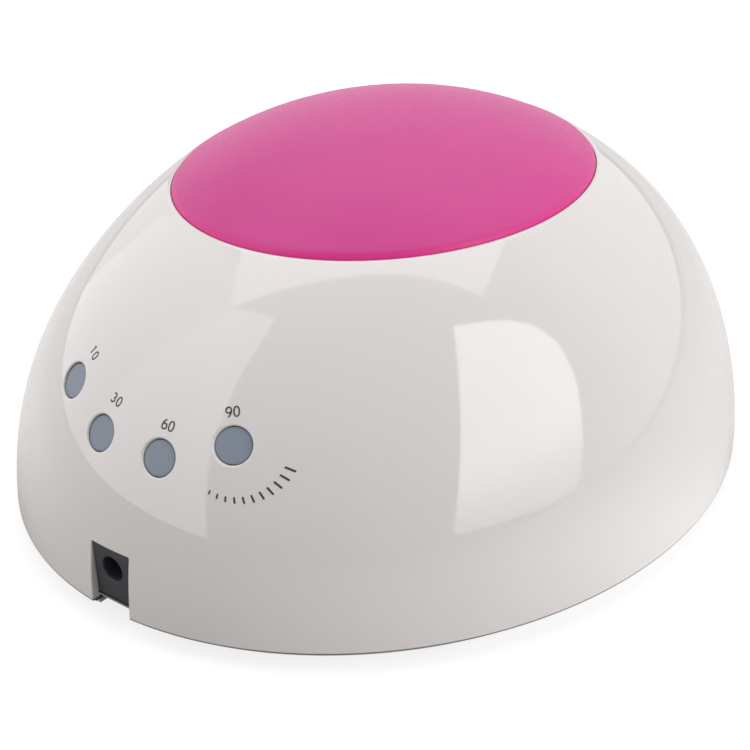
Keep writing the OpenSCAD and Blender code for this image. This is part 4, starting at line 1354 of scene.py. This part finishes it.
# slot: name, colour, roughness, its spread, colour drift, bump strength, scale of the grain
PLASTICS = {
    "button_grey": ("button_satin", (0.228, 0.268, 0.340), 0.36, 0.05, 0.04, 0.10, 2400.0),
    "mark_ink": ("mark_print", (0.045, 0.046, 0.048), 0.45, 0.08, 0.12, 0.05, 3000.0),
    "trim_white": ("trim_gloss", (0.76, 0.745, 0.735), 0.16, 0.05, 0.02, 0.03, 400.0),
    "ring_charcoal": ("ring_textured", (0.030, 0.032, 0.035), 0.50, 0.08, 0.12, 0.35, 1500.0),
    "foot_rubber": ("foot_matt", (0.016, 0.016, 0.017), 0.78, 0.1, 0.2, 0.4, 2200.0),
    "jack_black": ("socket_body_black", (0.012, 0.012, 0.013), 0.45, 0.08, 0.15, 0.2, 1800.0),
    "led_board_white": ("strip_mask_white", (0.78, 0.78, 0.76), 0.34, 0.06, 0.03, 0.05,
                        1200.0),
    "led_chip": ("lamp_phosphor", (0.80, 0.62, 0.20), 0.35, 0.06, 0.10, 0.10, 2500.0),
    "chip_black": ("chip_epoxy", (0.014, 0.014, 0.016), 0.55, 0.08, 0.15, 0.3, 2500.0),
    "coil_ferrite": ("coil_core", (0.060, 0.050, 0.042), 0.62, 0.1, 0.2, 0.4, 1600.0),
    "socket_ivory": ("socket_nylon", (0.74, 0.70, 0.58), 0.42, 0.08, 0.05, 0.1, 1500.0),
    "switch_black": ("switch_nylon", (0.018, 0.018, 0.020), 0.48, 0.08, 0.15, 0.2, 1800.0),
    "plunger_ivory": ("plunger_nylon", (0.76, 0.72, 0.62), 0.40, 0.08, 0.05, 0.1, 1800.0),
    "ribbon_grey": ("ribbon_insulation", (0.50, 0.49, 0.46), 0.5, 0.08, 0.08, 0.1, 1500.0),
    "sensor_dark": ("sensor_tinted", (0.010, 0.009, 0.014), 0.12, 0.04, 0.1, 0.02, 1500.0),
}
# slot: name, colour, roughness, its spread
METALS = {
    "screw_steel": ("screw_zinc", (0.60, 0.61, 0.63), 0.30, 0.08),
    "magnet_nickel": ("magnet_plating", (0.66, 0.65, 0.63), 0.16, 0.06),
    "pin_nickel": ("pin_plating", (0.70, 0.66, 0.56), 0.22, 0.06),
    "contact_tin": ("contact_plating", (0.66, 0.66, 0.65), 0.30, 0.08),
}
WIRE_RED = (0.42, 0.012, 0.015)
MATERIALS = {
    "shell_white": shell_material(),
    "pad_pink": pad_material(),
    "reflector_silver": reflector_material(),
    "plate_steel": metal("plate_powder_coat", (0.62, 0.63, 0.645), roughness=0.38,
                         spread=0.07, metallic=0.4, stretch=(18.0, 900.0, 900.0)),
    "jack_plate_grey": plate_material(),
    "board_green": board_material(),
    "led_lens": lens_material(),
    "capacitor_can": capacitor_material(),
    "wire_power": two_wire_material("wire_red_black", WIRE_RED, (0.012, 0.012, 0.013),
                                    axis="Y", split=0.0885),
    "wire_led": two_wire_material("wire_red_white", WIRE_RED, (0.72, 0.72, 0.70),
                                  axis="X", split=0.0),
    "sensor_clear": lens_material(),
}
MATERIALS.update({slot: plastic(*row) for slot, row in PLASTICS.items()})
MATERIALS.update({slot: metal(*row) for slot, row in METALS.items()})

# slot: the pieces it covers
PIECES = {
    "plate_steel": "base_plate",
    "foot_rubber": "plate_feet",
    "shell_white": "outer_shell",
    "pad_pink": "top_pad",
    "reflector_silver": "inner_reflector",
    "trim_white": "opening_trim",
    "ring_charcoal": "bottom_ring",
    "screw_steel": "ring_screws main_board_screws button_board_screws led_plate_screws",
    "magnet_nickel": "ring_magnets",
    "jack_plate_grey": "jack_plate",
    "jack_black": "jack_body",
    "pin_nickel": "jack_centre_pin",
    "contact_tin": "jack_contacts",
    "board_green": "jack_board main_board button_board sensor_board",
    "wire_power": "power_wires",
    "chip_black": "controller_chip driver_transistors",
    "capacitor_can": "filter_capacitors",
    "coil_ferrite": "choke_coil",
    "socket_ivory": "board_sockets",
    "switch_black": "switch_cases",
    "ribbon_grey": "button_ribbon",
    "led_board_white": "led_plate_top led_strip_upper led_strip_lower",
    "led_chip": "led_chips_top led_chips_upper led_chips_lower",
    "led_lens": "led_lenses_top led_lenses_upper led_lenses_lower",
    "wire_led": "led_wires",
    "sensor_clear": "sensor_emitter",
    "sensor_dark": "sensor_receiver",
    "button_grey": " ".join("button_cap_" + key for key in BUTTONS),
    "plunger_ivory": " ".join("switch_plunger_" + key for key in BUTTONS),
}
SLOT_OF = {piece: slot for slot, pieces in PIECES.items() for piece in pieces.split()}

for name, obj in NODES.items():
    slots, material = obj.data.materials, MATERIALS[SLOT_OF[name]]
    if len(slots) == 0:
        slots.append(material)
    for i in range(len(slots)):
        slots[i] = material


# ---------------------------------------------------------------- the object
def put(obj, body, slot, *nodes, material=None):
    obj.data.materials.append(MATERIALS[material or slot])
    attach(obj, body)
    if nodes:
        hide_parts(*nodes)


put(make_shell(), "lamp", "shell_white", "outer_shell")
put(make_pad(), "lamp", "pad_pink", "top_pad")
for key in BUTTONS:
    put(make_cap(key), "button_" + key, "button_grey", "button_cap_" + key)
for mark in [make_numeral(key) for key in NUMERALS] + [make_soft_start_mark()]:
    put(mark, "lamp", "shell_white", material="mark_ink")
put(make_socket_plate(), "lamp", "jack_plate_grey", "jack_plate")
put(make_lining(), "lamp", "trim_white", "opening_trim")
put(make_reflector(), "lamp", "reflector_silver", "inner_reflector")
for place, frames in (
        ("lower", [lamp_frame(*lamp) for lamp in LAMPS_LOW]),
        ("upper", [lamp_frame(*lamp) for lamp in LAMPS_UP]),
        ("top", [((x, y, EDGE_Z + BOWL_TOP), X_AXIS, Y_AXIS, Z_AXIS) for x, y in TOP_LAMPS])):
    put(make_lenses("lens_domes_" + place, frames), "lamp", "led_lens", "led_lenses_" + place)
put(make_base_plate(), "base", "plate_steel", "base_plate")
put(make_feet(), "base", "foot_rubber", "plate_feet")


# ---------------------------------------------------------------- floor, light, camera
def make_floor():
    """Floor that glows evenly to the camera, and lights the lamp unevenly from below."""
    size = 6.0
    mesh = bpy.data.meshes.new("floor")
    mesh.from_pydata([(-size, -size, 0), (size, -size, 0), (size, size, 0), (-size, size, 0)],
                     [], [(0, 1, 2, 3)])
    floor = link_object("floor", mesh)
    m = Surface("floor_pale")
    seen = m.camera_ray()
    pale = m.mottle((0.33, 0.33, 0.33), (0.34, 0.34, 0.34), scale=3.0, detail=2.0)
    dim_side = {"toward": (-0.25, 0.97, 0.0), "start": 0.10, "end": 0.95}
    colour = m.by_side(m.place, dark=(0.36, 0.355, 0.35), bright=(0.55, 0.545, 0.54),
                       **dim_side)
    m.set(base_color=m.mix(seen, colour, pale), roughness=0.9, specular_ior_level=0.0)
    # the glow fades away from the lamp, and is stronger in one direction
    distance = m.node("ShaderNodeVectorMath", {0: m.place},
                      operation="LENGTH").outputs["Value"]
    pool = m.remap(distance, 1.0, 0.25, start=0.10, end=0.42, smooth=True)
    lobe = m.by_side(m.place, dark=(2.9, 2.9, 2.9), bright=(1.0, 1.0, 1.0),
                     toward=(-0.93, 0.37, 0.0), start=0.55, end=1.0)
    glow = m.by_side(m.place, dark=(0.105, 0.103, 0.101), bright=(0.22, 0.216, 0.214),
                     **dim_side)
    unseen = m.calc("MULTIPLY", pool, m.mix(seen, lobe, (1, 1, 1)))
    m.set(emission_color=m.mix(seen, glow, (0.78, 0.78, 0.78)),
          emission_strength=m.calc("MAXIMUM", seen, unseen))
    back = m.node("ShaderNodeNewGeometry").outputs["Backfacing"]
    m.set(alpha=m.calc("SUBTRACT", 1.0, back))
    mesh.materials.append(m.material)


def make_panel(name, points, centre, strength, colour, fade=None):
    """Flat lit sheet that shows in gloss but not to the camera. A fade is the height over
    which it reaches full strength and the share it starts from at the bottom."""
    mesh = bpy.data.meshes.new(name)
    centre = Vector(centre)
    mesh.from_pydata([tuple(Vector(p) - centre) for p in points], [],
                     [tuple(range(len(points)))])
    panel = bpy.data.objects.new(name, mesh)
    panel.location = centre
    bpy.context.scene.collection.objects.link(panel)
    material = bpy.data.materials.new(name)
    m = Nodes(material)
    m.tree.nodes.clear()
    output = m.node("ShaderNodeOutputMaterial")
    emission = m.node("ShaderNodeEmission", {"Color": colour, "Strength": strength})
    if fade:
        height, share = fade
        place = m.node("ShaderNodeTexCoord").outputs["Object"]
        bottom = min(p[2] for p in points) - centre.z
        m.plug(emission.inputs["Strength"],
               m.remap(m.axis(place, "Z"), strength * share, strength,
                       start=bottom, end=bottom + height, smooth=True))
    m.plug(output.inputs["Surface"], emission.outputs[0])
    mesh.materials.append(material)
    panel.visible_camera = False
    panel.visible_shadow = False


def make_world():
    """White to the camera; to the lamp, bright with one darker side."""
    world = bpy.data.worlds.new("studio")
    w = Nodes(world)
    w.tree.nodes.clear()
    output = w.node("ShaderNodeOutputWorld")
    background = w.node("ShaderNodeBackground", {"Strength": 1.0})
    heading = w.node("ShaderNodeTexCoord").outputs["Generated"]
    light = w.by_side(heading, dark=(0.345, 0.335, 0.325), bright=(0.86, 0.848, 0.838),
                      toward=(-0.50, 0.81, 0.20), start=-0.30, end=0.62)
    w.plug(background.inputs["Color"], w.mix(w.camera_ray(), light, (1, 1, 1)))
    w.plug(output.inputs["Surface"], background.outputs[0])
    bpy.context.scene.world = world


def make_camera():
    """Camera on the -X, +Y side, looking down on the buttons."""
    data = bpy.data.cameras.new("camera")
    data.sensor_width = 36.0
    data.lens = 80.8125
    data.clip_start, data.clip_end = 0.02, 50.0
    camera = bpy.data.objects.new("camera", data)
    right = Vector((-0.785385, -0.618424, -0.026879))
    up = Vector((0.282425, -0.396636, 0.873451))
    back = Vector((-0.550824, 0.678403, 0.486170))
    matrix = Matrix((right, up, back)).transposed().to_4x4()
    matrix.translation = Vector((-0.24636, 0.305433, 0.239089))
    camera.matrix_world = matrix
    bpy.context.scene.collection.objects.link(camera)
    bpy.context.scene.camera = camera


make_floor()
# panel corners in metres
make_panel("panel_window",
           [(-1, 0.395, 0.075), (-1, -0.246, 0.040), (-1, -0.347, 0.200),
            (-1, -0.499, 0.502), (-1, -0.545, 0.731), (-1, -0.505, 0.960),
            (-1, -0.400, 1.150), (-1, -0.080, 1.560)],
           centre=(-1, 0, 0.8), strength=2.95, colour=(1.0, 0.985, 0.995), fade=(0.36, 0.46))
make_panel("panel_top",
           [(-0.62, -0.25, 1), (0.48, 0.37, 1), (1.05, -0.60, 1), (-0.05, -1.22, 1)],
           centre=(0.2, -0.4, 1), strength=1.75, colour=(1.0, 0.99, 0.985))
make_panel("panel_front",
           [(0.02, 1, 0.03), (1.5, 1, 0.03), (1.5, 1, 2.9), (0.62, 1, 2.9), (0.46, 1, 2.3)],
           centre=(1, 1, 1), strength=1.40, colour=(1.0, 0.985, 0.992))
make_panel("panel_side",
           [(1.5, 1, 0.03), (1.5, -0.32, 0.03), (1.5, -0.30, 0.40), (1.5, -0.38, 0.57),
            (1.5, 0.25, 2.3), (1.5, 0.72, 2.9), (1.5, 1, 2.9)],
           centre=(1.5, 0, 1), strength=1.12, colour=(1.0, 0.985, 0.990))
make_world()
make_camera()

view = bpy.context.scene.view_settings
view.view_transform = "Standard"
view.look = "None"
view.exposure = 0.0
